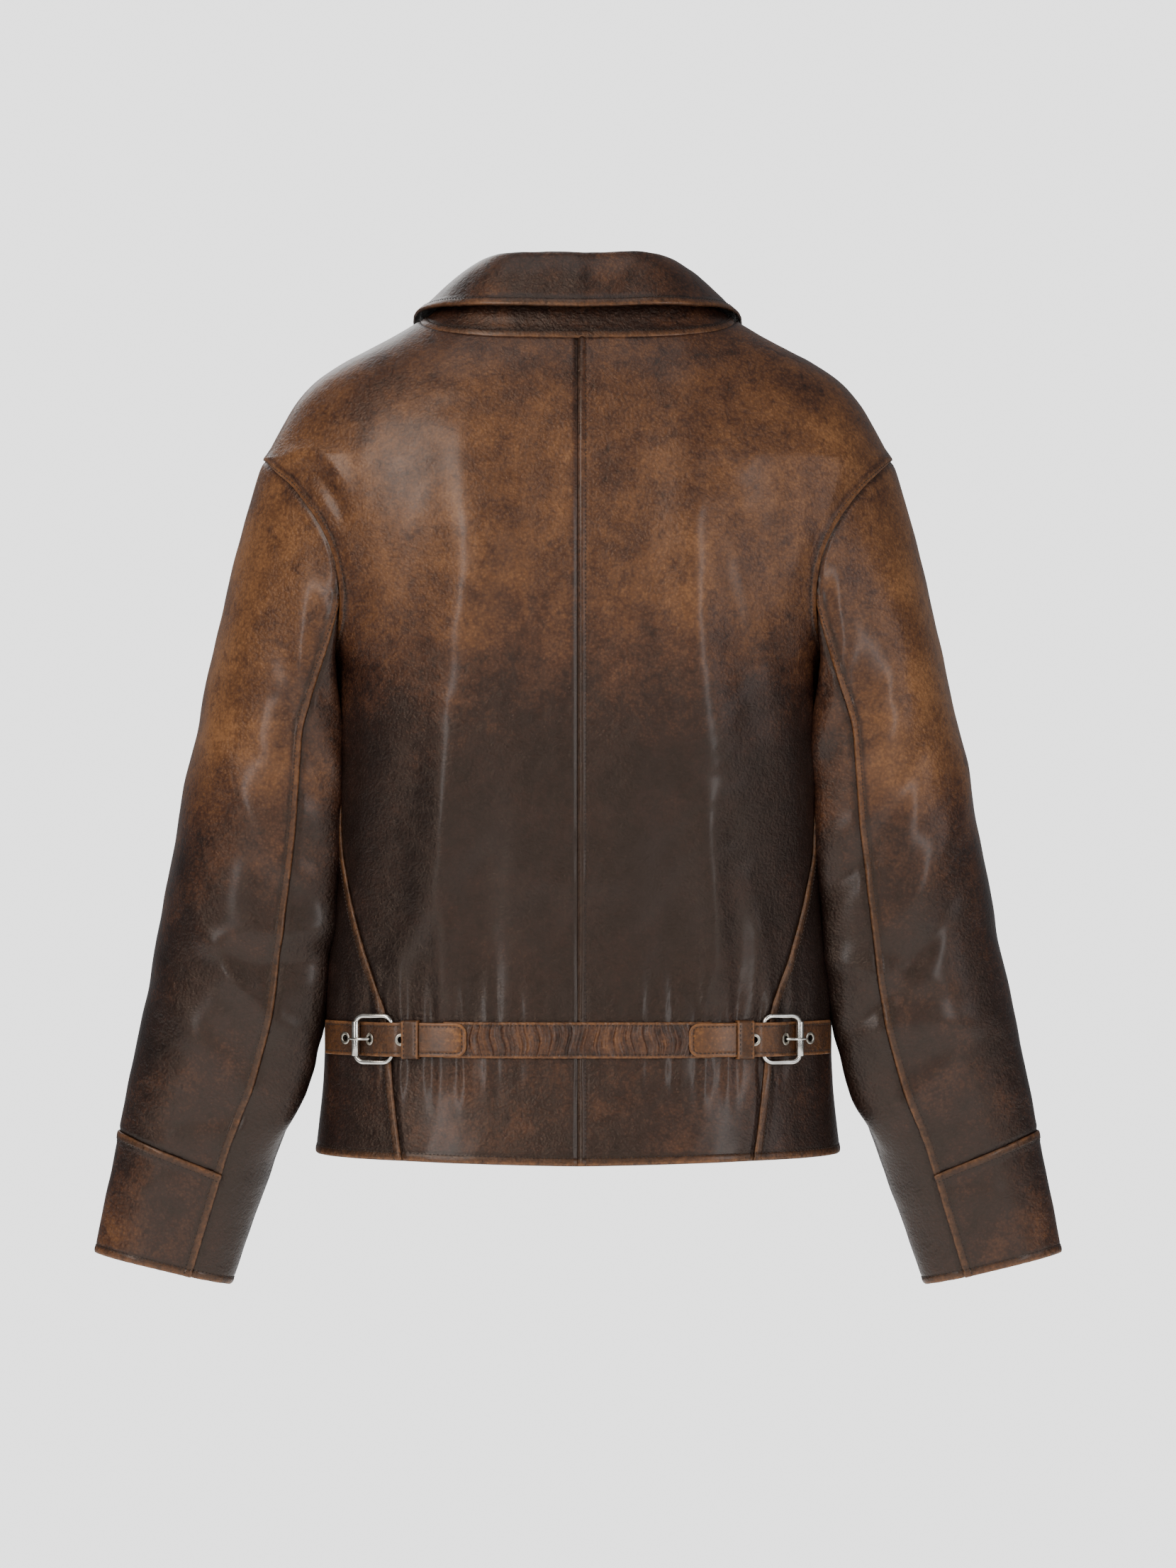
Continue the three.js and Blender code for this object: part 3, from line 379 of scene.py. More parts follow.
def along_fold(x, z, points):
    """Distance to a fold's line, and how far along it the nearest place lies."""
    nodes = np.array(points, float)
    lengths = run_along(nodes)
    fine = np.linspace(0, lengths[-1], 60)
    px = profile(list(zip(lengths, nodes[:, 0])))(fine)
    pz = profile(list(zip(lengths, nodes[:, 1])))(fine)
    gap = np.hypot(x[..., None] - px, z[..., None] - pz)
    nearest = gap.argmin(axis=-1)
    return gap.min(axis=-1), fine[nearest] / lengths[-1]


def fold_height(x, z, folds):
    total = np.zeros(x.shape)
    for points, width, height in folds:
        gap, share = along_fold(x, z, points)
        taper = np.sqrt(np.clip(np.sin(np.pi * np.clip(share, 0.04, 0.96)), 0, 1))
        total += height * bell(gap, width) * taper
    return total


def ripple(phase, seed):
    """An uneven wave between -1 and 1, the same each time for one seed."""
    a, b, c = np.random.default_rng(seed).uniform(0, 6.28, 3)
    return 0.5 * np.sin(phase + a) + 0.3 * np.sin(1.73 * phase + b) + 0.2 * np.sin(2.9 * phase + c)


def body_folds(point):
    """How far the hide stands off the body at each place of a panel, in millimetres."""
    x, y, z = point[..., 0], point[..., 1], point[..., 2]
    back = ease((y + 10) / 50)
    height = fold_height(x, z, BACK_FOLDS) * back + fold_height(x, z, FRONT_FOLDS) * (1 - back)
    above, below = np.clip(z - BELT_TOP, 0, None), np.clip(BELT_FOOT - z, 0, None)
    reach = ease((np.abs(x) - 25) / 60)
    gather = 1.5 * ripple(x / 2.6, 3) * (bell(above, 34) * (z > BELT_Z) + bell(below, 22) * (z <= BELT_Z))
    height = height * (1 - 0.8 * bell(z - BELT_Z, 18)) + gather * back * (0.35 + 0.65 * reach)
    height += 0.5 * ripple((x + 0.4 * z) / 9, 5) * ripple(z / 17, 6)
    flat = bell(z - BELT_Z, 14) * back
    return height * (1 - flat) - 0.4 * flat


# %% [markdown]
# ## Panels
# A panel could be one flat sheet draped by simulation; here it is a net of points laid
# straight on the body, because its seams must meet its neighbours exactly. The net is
# spaced finely beside each edge, where the hide is folded under and stitched, so the
# raised edge and the line of stitching are real shape. Each panel is a closed layer of
# hide, and its stitches are small twists of thread in the same piece.

# %% Spacing a net by real distance from its edges
EDGE_STATIONS = [0, 0.5, 1.2, 2.2, 3.6, 5.0, 6.0, 6.8, 7.8, 9.2, 11.5, 14.5]


def stations(length, pitch, low_edge=True, high_edge=True):
    low = EDGE_STATIONS if low_edge else [0]
    high = EDGE_STATIONS if high_edge else [0]
    start, end = low[-1], length - high[-1]
    count = max(2, int(round((end - start) / pitch)))
    inner = np.linspace(start, end, count + 1)[1:-1]
    return np.concatenate([low, inner, length - np.array(high[::-1])])


def respace(net, pitch, across=(True, True), down=(True, True)):
    """Lays the same surface again with its points spaced evenly, and finely at its edges."""
    def along(rows, ends):
        steps = np.linalg.norm(np.diff(rows[..., :3], axis=1), axis=-1)
        lengths = np.concatenate([np.zeros((len(rows), 1)), np.cumsum(steps, axis=1)], axis=1)
        target = stations(float(np.median(lengths[:, -1])), pitch, *ends)
        half = len(target) // 2
        out = np.empty((len(rows), len(target), rows.shape[-1]))
        for i, (row, length) in enumerate(zip(rows, lengths)):
            scale = min(1.0, length[-1] / target[-1])
            from_low = target[:half] * scale
            from_high = length[-1] - (target[-1] - target[half:]) * scale
            places = np.concatenate([from_low, from_high])
            even = target / target[-1] * length[-1]
            edge = np.minimum(target, target[-1] - target)
            keep = 1 - ease((edge - EDGE_STATIONS[-1]) / max(1.0, target[-1] / 2 - EDGE_STATIONS[-1]))
            places = mix(even, places, keep)
            for k in range(rows.shape[-1]):
                out[i, :, k] = np.interp(places, length, row[:, k])
        return out

    wide = along(net, across)
    return along(wide.transpose(1, 0, 2), down).transpose(1, 0, 2)


def normals_of(net):
    du = np.gradient(net, axis=1)
    dv = np.gradient(net, axis=0)
    normal = np.cross(du, dv)
    return normal / np.maximum(np.linalg.norm(normal, axis=-1, keepdims=True), 1e-9)


def outward(net, middle):
    """Unit normals that point away from the middle line of the body or sleeve."""
    normal = normals_of(net)
    flip = np.sign((normal * (net - middle)).sum(axis=-1).mean())
    return normal * flip


# %% Edges: raised laps, hollows and the thread
THREAD_PITCH = 3.1
STITCH_LENGTH = 2.5
THREAD_RADIUS = 0.32
THREAD_SIDES = 5
STITCH_IN = 6.3


def distance_to(net, line):
    """Distance from each point of a net to a line of points, both in millimetres."""
    run = run_along(line)
    fine = np.linspace(0, run[-1], max(2, int(run[-1] / 0.8)))
    line = place_at(fine, run, line)
    flat = net.reshape(-1, 3)
    best = np.full(len(flat), 1e9)
    for start in range(0, len(flat), 4000):
        block = flat[start:start + 4000]
        best[start:start + 4000] = np.sqrt(((block[:, None, :] - line[None, :, :]) ** 2).sum(-1)).min(1)
    return best.reshape(net.shape[:2])


def lap_relief(s, kind, reach):
    """Height across an edge, in millimetres, by the kind of edge it is.

    over lies on top and is stitched, hem is a turned hem, centre is the back's pressed
    seam, under tucks beneath its neighbour, and butt meets its neighbour edge to edge.
    """
    if kind == "over":
        raised = 1.5 * rolled(s, 1.7) * (1 - 0.75 * ease((s - 5.2) / 4.5)) - 0.35
        groove = -0.55 * bell(s - STITCH_IN, 1.0)
        return (raised + groove) * (1 - ease((s - 9) / reach))
    if kind == "hem":
        return 1.2 * (rolled(s, 1.9) - 1) + 0.5 * bell(s - 3.4, 2.6) - 0.5 * bell(s - STITCH_IN, 1.0)
    if kind == "centre":
        return 0.8 * bell(s - 3.0, 2.6) - 0.7 * bell(s, 1.3) - 0.3 * bell(s - STITCH_IN, 0.9)
    if kind == "under":
        return -0.9 * (1 - ease(s / 4.0))
    return 0.35 * bell(s - 2.4, 2.0) - (1 - rolled(s, 1.4))


def sample_inset(net, extra, edge, inset):
    """The line on a net at a distance in from one edge, with the normals there, for thread."""
    swap = edge in ("top", "foot")
    rows = net.transpose(1, 0, 2) if swap else net
    more = extra.transpose(1, 0, 2) if swap else extra
    if edge in ("high", "foot"):
        rows, more = rows[:, ::-1], more[:, ::-1]
    steps = np.linalg.norm(np.diff(rows, axis=1), axis=-1)
    lengths = np.concatenate([np.zeros((len(rows), 1)), np.cumsum(steps, axis=1)], axis=1)
    place = np.empty((len(rows), 3))
    turned = np.empty((len(rows), 3))
    for i in range(len(rows)):
        for k in range(3):
            place[i, k] = np.interp(inset, lengths[i], rows[i, :, k])
            turned[i, k] = np.interp(inset, lengths[i], more[i, :, k])
    return place, turned


def stitch_row(line, normal):
    """Verts and faces of a row of thread stitches lying along a line."""
    run = run_along(line)
    count = int(run[-1] / THREAD_PITCH)
    verts, faces = [], []
    sides, radius = THREAD_SIDES, THREAD_RADIUS
    for n in range(count):
        middle = (n + 0.5) * run[-1] / count
        ends = [place_at(middle + d, run, line) for d in (-STITCH_LENGTH / 2, STITCH_LENGTH / 2)]
        up = place_at(middle, run, normal)
        up /= np.linalg.norm(up)
        along = ends[1] - ends[0]
        along /= max(np.linalg.norm(along), 1e-9)
        side = np.cross(along, up)
        base = len(verts)
        verts.append(ends[0] - up * radius * 0.9)
        for share, lift in ((0.28, 0.55), (0.72, 0.55)):
            centre = ends[0] * (1 - share) + ends[1] * share + up * radius * lift
            for j in range(sides):
                a = 2 * math.pi * j / sides
                verts.append(centre + radius * (math.cos(a) * side + math.sin(a) * up))
        verts.append(ends[1] - up * radius * 0.9)
        for j in range(sides):
            k = (j + 1) % sides
            faces.append((base, base + 1 + k, base + 1 + j))
            faces.append((base + 1 + j, base + 1 + k, base + 1 + sides + k, base + 1 + sides + j))
            faces.append((base + 1 + 2 * sides, base + 1 + sides + j, base + 1 + sides + k))
    return verts, faces


# %% Turning nets into Blender meshes
def grid_faces(rows, columns, base, flip=False):
    i, j = np.meshgrid(np.arange(rows - 1), np.arange(columns - 1), indexing="ij")
    a = base + i * columns + j
    quads = np.stack([a, a + 1, a + columns + 1, a + columns], axis=-1).reshape(-1, 4)
    return quads[:, ::-1] if flip else quads


def rim_faces(rows, columns, inner_base, flip=False):
    loop = np.concatenate([
        np.arange(columns), columns * np.arange(1, rows) + columns - 1,
        columns * (rows - 1) + np.arange(columns - 2, -1, -1), columns * np.arange(rows - 2, 0, -1),
    ])
    following = np.roll(loop, -1)
    quads = np.stack([loop, loop + inner_base, following + inner_base, following], axis=-1)
    return quads[:, ::-1] if flip else quads


def new_object(name, verts_mm, faces, materials, face_material=None, attributes=None):
    """A mesh object from points in millimetres measured from the back neck seam."""
    mesh = bpy.data.meshes.new(name)
    points = (np.asarray(verts_mm, float) + SHIFT) / 1000
    mesh.from_pydata(points.tolist(), [], [list(map(int, face)) for face in faces])
    for material in materials:
        mesh.materials.append(material)
    if face_material is not None:
        mesh.polygons.foreach_set("material_index", np.asarray(face_material, np.int32))
    mesh.polygons.foreach_set("use_smooth", np.ones(len(mesh.polygons), bool))
    for key, values in (attributes or {}).items():
        layer = mesh.attributes.new(key, "FLOAT", "POINT")
        layer.data.foreach_set("value", np.asarray(values, np.float32))
    mesh.update()
    piece = bpy.data.objects.new(name, mesh)
    bpy.context.scene.collection.objects.link(piece)
    return piece


def closed_layer(name, net, normal, thick, materials, attributes, threads=()):
    """A closed layer of hide from its outer net, with any rows of stitches in it."""
    rows, columns = net.shape[:2]
    outer = net.reshape(-1, 3)
    inner = (net - normal * thick).reshape(-1, 3)
    flip = bool((normals_of(net) * normal).sum() < 0)
    size = rows * columns
    faces = [grid_faces(rows, columns, 0, flip), grid_faces(rows, columns, size, not flip),
             rim_faces(rows, columns, size, flip)]
    verts = [outer, inner]
    values = {key: [value.reshape(-1), value.reshape(-1)] for key, value in attributes.items()}
    face_lists = [face for block in faces for face in block.tolist()]
    face_material = [0] * len(face_lists)
    total = 2 * size
    for line, line_normal in threads:
        thread_verts, thread_faces = stitch_row(line, line_normal)
        if not thread_verts:
            continue
        verts.append(np.array(thread_verts))
        face_lists += [[v + total for v in face] for face in thread_faces]
        face_material += [1] * len(thread_faces)
        total += len(thread_verts)
        for key in values:
            values[key].append(np.zeros(len(thread_verts)))
    joined = {key: np.concatenate(value) for key, value in values.items()}
    piece = new_object(name, np.concatenate(verts), face_lists, materials, face_material, joined)
    print(f"{name}: {total} points, {len(threads)} rows of thread")
    return piece


# %% [markdown]
# ## The hide's finish
# The hide is cowhide, drum dyed brown, waxed and then rubbed by hand: a two-tone
# finish. The rubbed grain shows tan over the shoulders and the upper sleeves, and the
# dark wax stays on the lower body and in the valleys of the grain. Each piece carries
# two painted values: tone, from dark to tan, and wear, which is strong on the edges.
# Tone also holds painted shade beside the seams, along the stitch lines, in the band's
# gathers and on the sleeves' inner side by the body. It also holds a painted highlight
# along the back's main fold ridges and the gathers' crests. The material breaks both up
# with noise.

# %% Nodes and colours
def add_node(tree, kind, inputs=None, **settings):
    """Adds a node, sets its settings, and fills or links its inputs."""
    made = tree.nodes.new(kind)
    for key, value in settings.items():
        setattr(made, key, value)
    for key, value in (inputs or {}).items():
        if isinstance(value, bpy.types.NodeSocket):
            tree.links.new(value, made.inputs[key])
        else:
            made.inputs[key].default_value = value
    return made


def colour(hex_code):
    """An sRGB hex colour as linear red, green and blue, and a full alpha."""
    parts = [int(hex_code[i:i + 2], 16) / 255 for i in (1, 3, 5)]
    linear = [c / 12.92 if c <= 0.04045 else ((c + 0.055) / 1.055) ** 2.4 for c in parts]
    return (*linear, 1.0)


def set_ramp(ramp_node, stops):
    ramp = ramp_node.color_ramp
    while len(ramp.elements) < len(stops):
        ramp.elements.new(0.5)
    for element, (place, code) in zip(ramp.elements, stops):
        element.position = place
        element.color = colour(code)


def per_metre(size_mm):
    """A texture scale whose features are this many millimetres across."""
    return 1000 / size_mm


def new_material(name):
    material = bpy.data.materials.new(name)
    material.use_nodes = True
    tree = material.node_tree
    tree.nodes.clear()
    shader = add_node(tree, "ShaderNodeBsdfPrincipled")
    add_node(tree, "ShaderNodeOutputMaterial", {"Surface": shader.outputs["BSDF"]})
    return material, tree, shader


GRAIN_MM = 2.0            # pebbles of a full-grain cowhide are 1 to 2 mm across
MOTTLE_MM = 34            # the rubbed patches of the finish
SMUDGE_MM = 13            # dark thumb-sized smudges left in the rubbed parts
SPECK_MM = 4.5


def waxed_hide(name, stops, roughness=0.35, grain=1.0, wear_code="#79502f"):
    """Waxed, rubbed cowhide: dark in its valleys, tan on its rubbed edges."""
    material, tree, shader = new_material(name)
    place = add_node(tree, "ShaderNodeTexCoord").outputs["Object"]
    tone = add_node(tree, "ShaderNodeAttribute", attribute_name="tone").outputs["Fac"]
    wear = add_node(tree, "ShaderNodeAttribute", attribute_name="wear").outputs["Fac"]
    mottle = add_node(tree, "ShaderNodeTexNoise", {
        "Vector": place, "Scale": per_metre(MOTTLE_MM), "Detail": 5.0, "Roughness": 0.62})
    speck = add_node(tree, "ShaderNodeTexNoise", {
        "Vector": place, "Scale": per_metre(SPECK_MM), "Detail": 4.0, "Roughness": 0.7})
    wobble = add_node(tree, "ShaderNodeTexNoise", {
        "Vector": place, "Scale": per_metre(3.2), "Detail": 2.0})
    shifted = add_node(tree, "ShaderNodeMixRGB", {
        "Fac": 0.0016, "Color1": place, "Color2": wobble.outputs["Color"]}, blend_type="ADD")
    pebbles = add_node(tree, "ShaderNodeTexVoronoi", {
        "Vector": shifted.outputs["Color"], "Scale": per_metre(GRAIN_MM)},
        feature="SMOOTH_F1")
    fine = add_node(tree, "ShaderNodeTexNoise", {
        "Vector": place, "Scale": per_metre(0.9), "Detail": 3.0, "Roughness": 0.6})
    creases = add_node(tree, "ShaderNodeTexNoise", {
        "Vector": place, "Scale": per_metre(13), "Detail": 6.0, "Roughness": 0.66,
        "Distortion": 1.3})

    # tone, moved up and down by patches and specks
    patches = add_node(tree, "ShaderNodeMath", {
        0: mottle.outputs["Fac"], 1: 0.9, 2: -0.45}, operation="MULTIPLY_ADD")
    specks = add_node(tree, "ShaderNodeMath", {
        0: speck.outputs["Fac"], 1: 0.5, 2: -0.25}, operation="MULTIPLY_ADD")
    smudge = add_node(tree, "ShaderNodeTexNoise", {
        "Vector": place, "Scale": per_metre(SMUDGE_MM), "Detail": 3.0, "Roughness": 0.6, "Distortion": 0.4})
    smudged = add_node(tree, "ShaderNodeMath", {
        0: smudge.outputs["Fac"], 1: 3.4, 2: -1.9}, operation="MULTIPLY_ADD", use_clamp=True)
    smudges = add_node(tree, "ShaderNodeMath", {0: smudged.outputs[0], 1: -0.3}, operation="MULTIPLY")
    valleys = add_node(tree, "ShaderNodeMath", {
        0: pebbles.outputs["Distance"], 1: -0.34, 2: 0.12}, operation="MULTIPLY_ADD")
    shifts = [patches, specks, smudges, valleys]
    moved = tone
    for shift in shifts:
        moved = add_node(tree, "ShaderNodeMath", {0: moved, 1: shift.outputs[0]},
                         operation="ADD").outputs[0]
    ramp = add_node(tree, "ShaderNodeValToRGB", {"Fac": moved})
    set_ramp(ramp, stops)

    # rubbed edges, broken up by the specks
    rubbed = add_node(tree, "ShaderNodeMath", {0: speck.outputs["Fac"], 1: 2.4, 2: -0.65},
                      operation="MULTIPLY_ADD", use_clamp=True)
    worn = add_node(tree, "ShaderNodeMath", {0: wear, 1: rubbed.outputs[0]},
                    operation="MULTIPLY", use_clamp=True)
    dyed = add_node(tree, "ShaderNodeMixRGB", {
        "Fac": worn.outputs[0], "Color1": ramp.outputs["Color"], "Color2": colour(wear_code)})

    # gloss: waxed, a little duller where it is rubbed
    gloss = add_node(tree, "ShaderNodeMath", {
        0: mottle.outputs["Fac"], 1: 0.22, 2: roughness - 0.11}, operation="MULTIPLY_ADD")
    dulled = add_node(tree, "ShaderNodeMath", {
        0: worn.outputs[0], 1: 0.16, 2: gloss.outputs[0]}, operation="MULTIPLY_ADD")

    # relief: pebbles, fine pores and soft creases, in real metres
    relief = add_node(tree, "ShaderNodeMath", {
        0: pebbles.outputs["Distance"], 1: -0.55 * grain, 2: 0.0}, operation="MULTIPLY_ADD")
    pores = add_node(tree, "ShaderNodeMath", {
        0: fine.outputs["Fac"], 1: 0.3 * grain, 2: relief.outputs[0]}, operation="MULTIPLY_ADD")
    soft = add_node(tree, "ShaderNodeMath", {
        0: creases.outputs["Fac"], 1: 1.3, 2: pores.outputs[0]}, operation="MULTIPLY_ADD")
    bump = add_node(tree, "ShaderNodeBump", {
        "Height": soft.outputs[0], "Strength": 0.9, "Distance": 0.0009})
    tree.links.new(dyed.outputs["Color"], shader.inputs["Base Color"])
    tree.links.new(dulled.outputs[0], shader.inputs["Roughness"])
    tree.links.new(bump.outputs["Normal"], shader.inputs["Normal"])
    shader.inputs["Specular IOR Level"].default_value = 0.4
    shader.inputs["Specular Tint"].default_value = colour("#f0d4bf")
    shader.inputs["Coat Weight"].default_value = 0.2
    shader.inputs["Coat Roughness"].default_value = 0.22
    return material


HIDE_STOPS = [(0.0, "#130a08"), (0.27, "#1f110d"), (0.5, "#3b2317"), (0.74, "#583821"),
              (1.0, "#785131")]
STRAP_STOPS = [(0.0, "#1c100a"), (0.35, "#352013"), (0.65, "#523219"), (1.0, "#8a5a2c")]
hide = waxed_hide("waxed cowhide", HIDE_STOPS)
strap_hide = waxed_hide("burnished strap leather", STRAP_STOPS, roughness=0.42, grain=0.7)


def spun_thread():
    """Waxed polyester thread, brown: a slightly shiny twist."""
    material, tree, shader = new_material("waxed brown thread")
    place = add_node(tree, "ShaderNodeTexCoord").outputs["Object"]
    fuzz = add_node(tree, "ShaderNodeTexNoise", {"Vector": place, "Scale": per_metre(2.0)})
    ramp = add_node(tree, "ShaderNodeValToRGB", {"Fac": fuzz.outputs["Fac"]})
    set_ramp(ramp, [(0.3, "#140c08"), (0.7, "#2e1c11")])
    tree.links.new(ramp.outputs["Color"], shader.inputs["Base Color"])
    shader.inputs["Roughness"].default_value = 0.6
    return material


thread = spun_thread()
print("materials:", [material.name for material in bpy.data.materials])

# %% [markdown]
# ## The camera, the light and the floor
# The jacket was looked at from straight behind through a long lens, a little below the
# shoulders. A long lens keeps the two sides parallel. A large soft light stands high to
# the left and a weaker one to the right, and the pale world fills the shadows.

# %% Camera, lights and floor
VIEW_HEIGHT = 1.172         # metres from the top to the foot of the view, at the jacket's back
CAMERA_AWAY = 4.2

camera_data = bpy.data.cameras.new("studio_camera")
camera = bpy.data.objects.new("studio_camera", camera_data)
bpy.context.scene.collection.objects.link(camera)
camera_aim = Vector((-0.0077, 0.03, -0.329))
camera.location = camera_aim + Vector((0, CAMERA_AWAY, 0))
camera.rotation_euler = (math.radians(90), 0, math.radians(180))
camera_data.sensor_fit = "VERTICAL"
camera_data.sensor_height = 24
camera_data.lens = camera_data.sensor_height * CAMERA_AWAY / VIEW_HEIGHT
bpy.context.scene.camera = camera
print("lens, mm:", round(camera_data.lens, 1), "view height, m:", VIEW_HEIGHT)


def soft_light(name, place, size, watts, tint="#ffffff"):
    """A studio softbox that faces the jacket's middle."""
    data = bpy.data.lights.new(name, "AREA")
    data.shape = "RECTANGLE"
    data.size, data.size_y = size
    data.energy = watts
    data.color = colour(tint)[:3]
    light = bpy.data.objects.new(name, data)
    light.location = place
    light.rotation_euler = (Vector((0, 0, -0.33)) - Vector(place)).to_track_quat("-Z", "Y").to_euler()
    bpy.context.scene.collection.objects.link(light)


soft_light("key_softbox", (1.6, 2.5, 1.6), (1.3, 1.7), 72, "#fff6ec")
soft_light("left_strip", (1.75, 3.5, 0.1), (0.3, 2.6), 46)
soft_light("right_strip", (-1.95, 3.3, 0.1), (0.3, 2.6), 44)
soft_light("fill_softbox", (-2.4, 1.9, 0.3), (1.0, 2.0), 14, "#f4f7ff")
soft_light("front_softbox", (0.9, -2.6, 1.6), (1.8, 1.8), 26)
soft_light("top_softbox", (0.2, 0.6, 2.4), (1.6, 1.2), 12)

world = bpy.data.worlds.new("pale_studio")
world.use_nodes = True
world.node_tree.nodes.clear()
light_path = add_node(world.node_tree, "ShaderNodeLightPath")
fill = add_node(world.node_tree, "ShaderNodeBackground", {"Color": colour("#f2f4f7"), "Strength": 0.25})
backdrop = add_node(world.node_tree, "ShaderNodeBackground", {"Color": colour("#f0f0f0"), "Strength": 2.75})
seen = add_node(world.node_tree, "ShaderNodeMixShader", {
    0: light_path.outputs["Is Camera Ray"], 1: fill.outputs["Background"], 2: backdrop.outputs["Background"]})
add_node(world.node_tree, "ShaderNodeOutputWorld", {"Surface": seen.outputs["Shader"]})
bpy.context.scene.world = world


def studio_floor():
    """A wide pale floor with a softly rounded edge, well below the hanging jacket."""
    half, drop = 2.6, -1.3
    sides = 64
    verts = [(0, 0, drop)]
    for radius, fall in ((half * 0.5, 0), (half, 0), (half + 0.02, -0.02)):
        for i in range(sides):
            a = 2 * math.pi * i / sides
            verts.append((radius * math.cos(a), radius * math.sin(a), drop + fall))
    faces = [(0, 1 + i, 1 + (i + 1) % sides) for i in range(sides)]
    for ring in range(2):
        a, b = 1 + ring * sides, 1 + (ring + 1) * sides
        faces += [(a + i, b + i, b + (i + 1) % sides, a + (i + 1) % sides) for i in range(sides)]
    mesh = bpy.data.meshes.new("studio_floor")
    mesh.from_pydata(verts, [], faces)
    floor = bpy.data.objects.new("studio_floor", mesh)
    bpy.context.scene.collection.objects.link(floor)
    material, tree, shader = new_material("painted floor")
    place = add_node(tree, "ShaderNodeTexCoord").outputs["Object"]
    cloud = add_node(tree, "ShaderNodeTexNoise", {"Vector": place, "Scale": 3.0, "Detail": 2.0})
    ramp = add_node(tree, "ShaderNodeValToRGB", {"Fac": cloud.outputs["Fac"]})
    set_ramp(ramp, [(0.3, "#e6e6e5"), (0.7, "#ececeb")])
    shader.inputs["Emission Color"].default_value = colour("#eeeeee")
    shader.inputs["Emission Strength"].default_value = 1.1
    tree.links.new(ramp.outputs["Color"], shader.inputs["Base Color"])
    shader.inputs["Roughness"].default_value = 0.9
    mesh.materials.append(material)


studio_floor()

# %% [markdown]
# ## The body panels
# The back is two large panels with a seam down the middle, and a side panel on each
# side; the front is two panels that meet at the zip. An edge that lies on top is folded
# under and stitched 6 mm in, and its neighbour tucks beneath it. Every panel is the same
# on both sides, but the folds are not, so each side is built from its own mirrored net.

# %% Tone of the finish, dark at 0 and tan at 1, with a painted highlight on the back's fold ridges
shoulder_tan = profile([(HEM_Z, 0.3), (BELT_Z - 30, 0.34), (BELT_Z + 10, 0.15), (-430, 0.08), (-330, 0.12),
                        (-260, 0.42), (-180, 0.66), (-90, 0.66), (20, 0.52)])


def body_tone_and_ridge_highlight(point):
    x, y, z = point[..., 0], point[..., 1], point[..., 2]
    tone = shoulder_tan(z) + 0.05 * ripple(x / 30 + z / 70, 11)
    tone = tone + 0.16 * bell(np.hypot((np.abs(x) - 205) / 40, (z + 105) / 40), 1)
    # lighter along the back's main fold ridges: a painted highlight
    return tone + 0.05 * fold_height(x, z, BACK_FOLDS[:2] + BACK_FOLDS[3:5]) / 5 * ease((y + 10) / 50)


# %% Building one panel
def edge_effects(net, edges):
    """Height, wear and tone that a panel's edges give it; edges are (line, kind, reach)."""
    height = np.zeros(net.shape[:2])
    wear = np.zeros(net.shape[:2])
    tone = np.zeros(net.shape[:2])
    for line, kind, reach in edges:
        s = distance_to(net, line)
        height = height + lap_relief(s, kind, reach)
        strength = {"over": 0.6, "hem": 0.8, "butt": 0.35, "centre": 0.1, "under": 0.0}[kind]
        wear = np.maximum(wear, strength * bell(s - 1.1, 1.4))
        wear = np.maximum(wear, 0.35 * strength * bell(s - 3.6, 2.2))
        # painted shade: darker where an edge tucks under its neighbour or meets the centre seam, and along
        # the stitch groove
        dark = -0.3 * bell(s, 3.5) if kind in ("under", "centre") else -0.3 * bell(s - STITCH_IN, 1.5)
        tone = tone + dark
    return height, wear, tone


def flip_side(points, side):
    return points * np.array([side, 1, 1])


def thread_lines(net, normal, wanted):
    rows = []
    for edge, low, high in wanted:
        line, up = sample_inset(net, normal, edge, STITCH_IN)
        rows.append((line[low:high], up[low:high]))
    return rows


def build_panel(name, net, middle, folds, edges, wanted, tone, thick=HIDE):
    """Displaces a net, closes it into a layer of hide and stitches it."""
    normal = outward(net, middle)
    height, wear, dark = edge_effects(net, edges)
    shaped = net + normal * (folds + height)[..., None]
    shaped_normal = outward(shaped, middle)
    crossed = int(((shaped_normal * normal).sum(axis=-1) < 0).sum())
    print(name, "places where the net crosses itself:", crossed)
    # the tone carries the painted shade of the seams and stitch grooves
    attributes = {"tone": tone + dark, "wear": wear}
    rows = thread_lines(shaped, shaped_normal, wanted)
    return closed_layer(name, shaped, normal, thick, [hide, thread], attributes, rows)


def finish_piece(piece, nodes, body=None, blend=None):
    """Hangs a piece on its body's empty, or only bakes its place when blend is given, and hides the imported
    parts it stands for.
    """
    if blend:
        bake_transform(piece)
    else:
        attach(piece, body)
    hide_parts(*nodes)


def middle_of_body(net):
    return net * np.array([0.0, 0.0, 1.0])


# %% Back, side and front panels
PITCH = 4.0
back_base = respace(front_or_back(True), PITCH)
front_base = respace(front_or_back(False), PITCH)
side_base = respace(side_net(), PITCH)
print("panel nets:", back_base.shape, side_base.shape, front_base.shape)


def outer_seams(net, last_z):
    """Rows where a panel's outer edge turns from shoulder to armhole, and to the lower seam."""
    z = net[:, -1, 2]
    first = int(np.argmax(z < SHOULDER_Z + 0.5))
    lower = int(np.argmax(z < last_z + 0.5))
    return first, lower


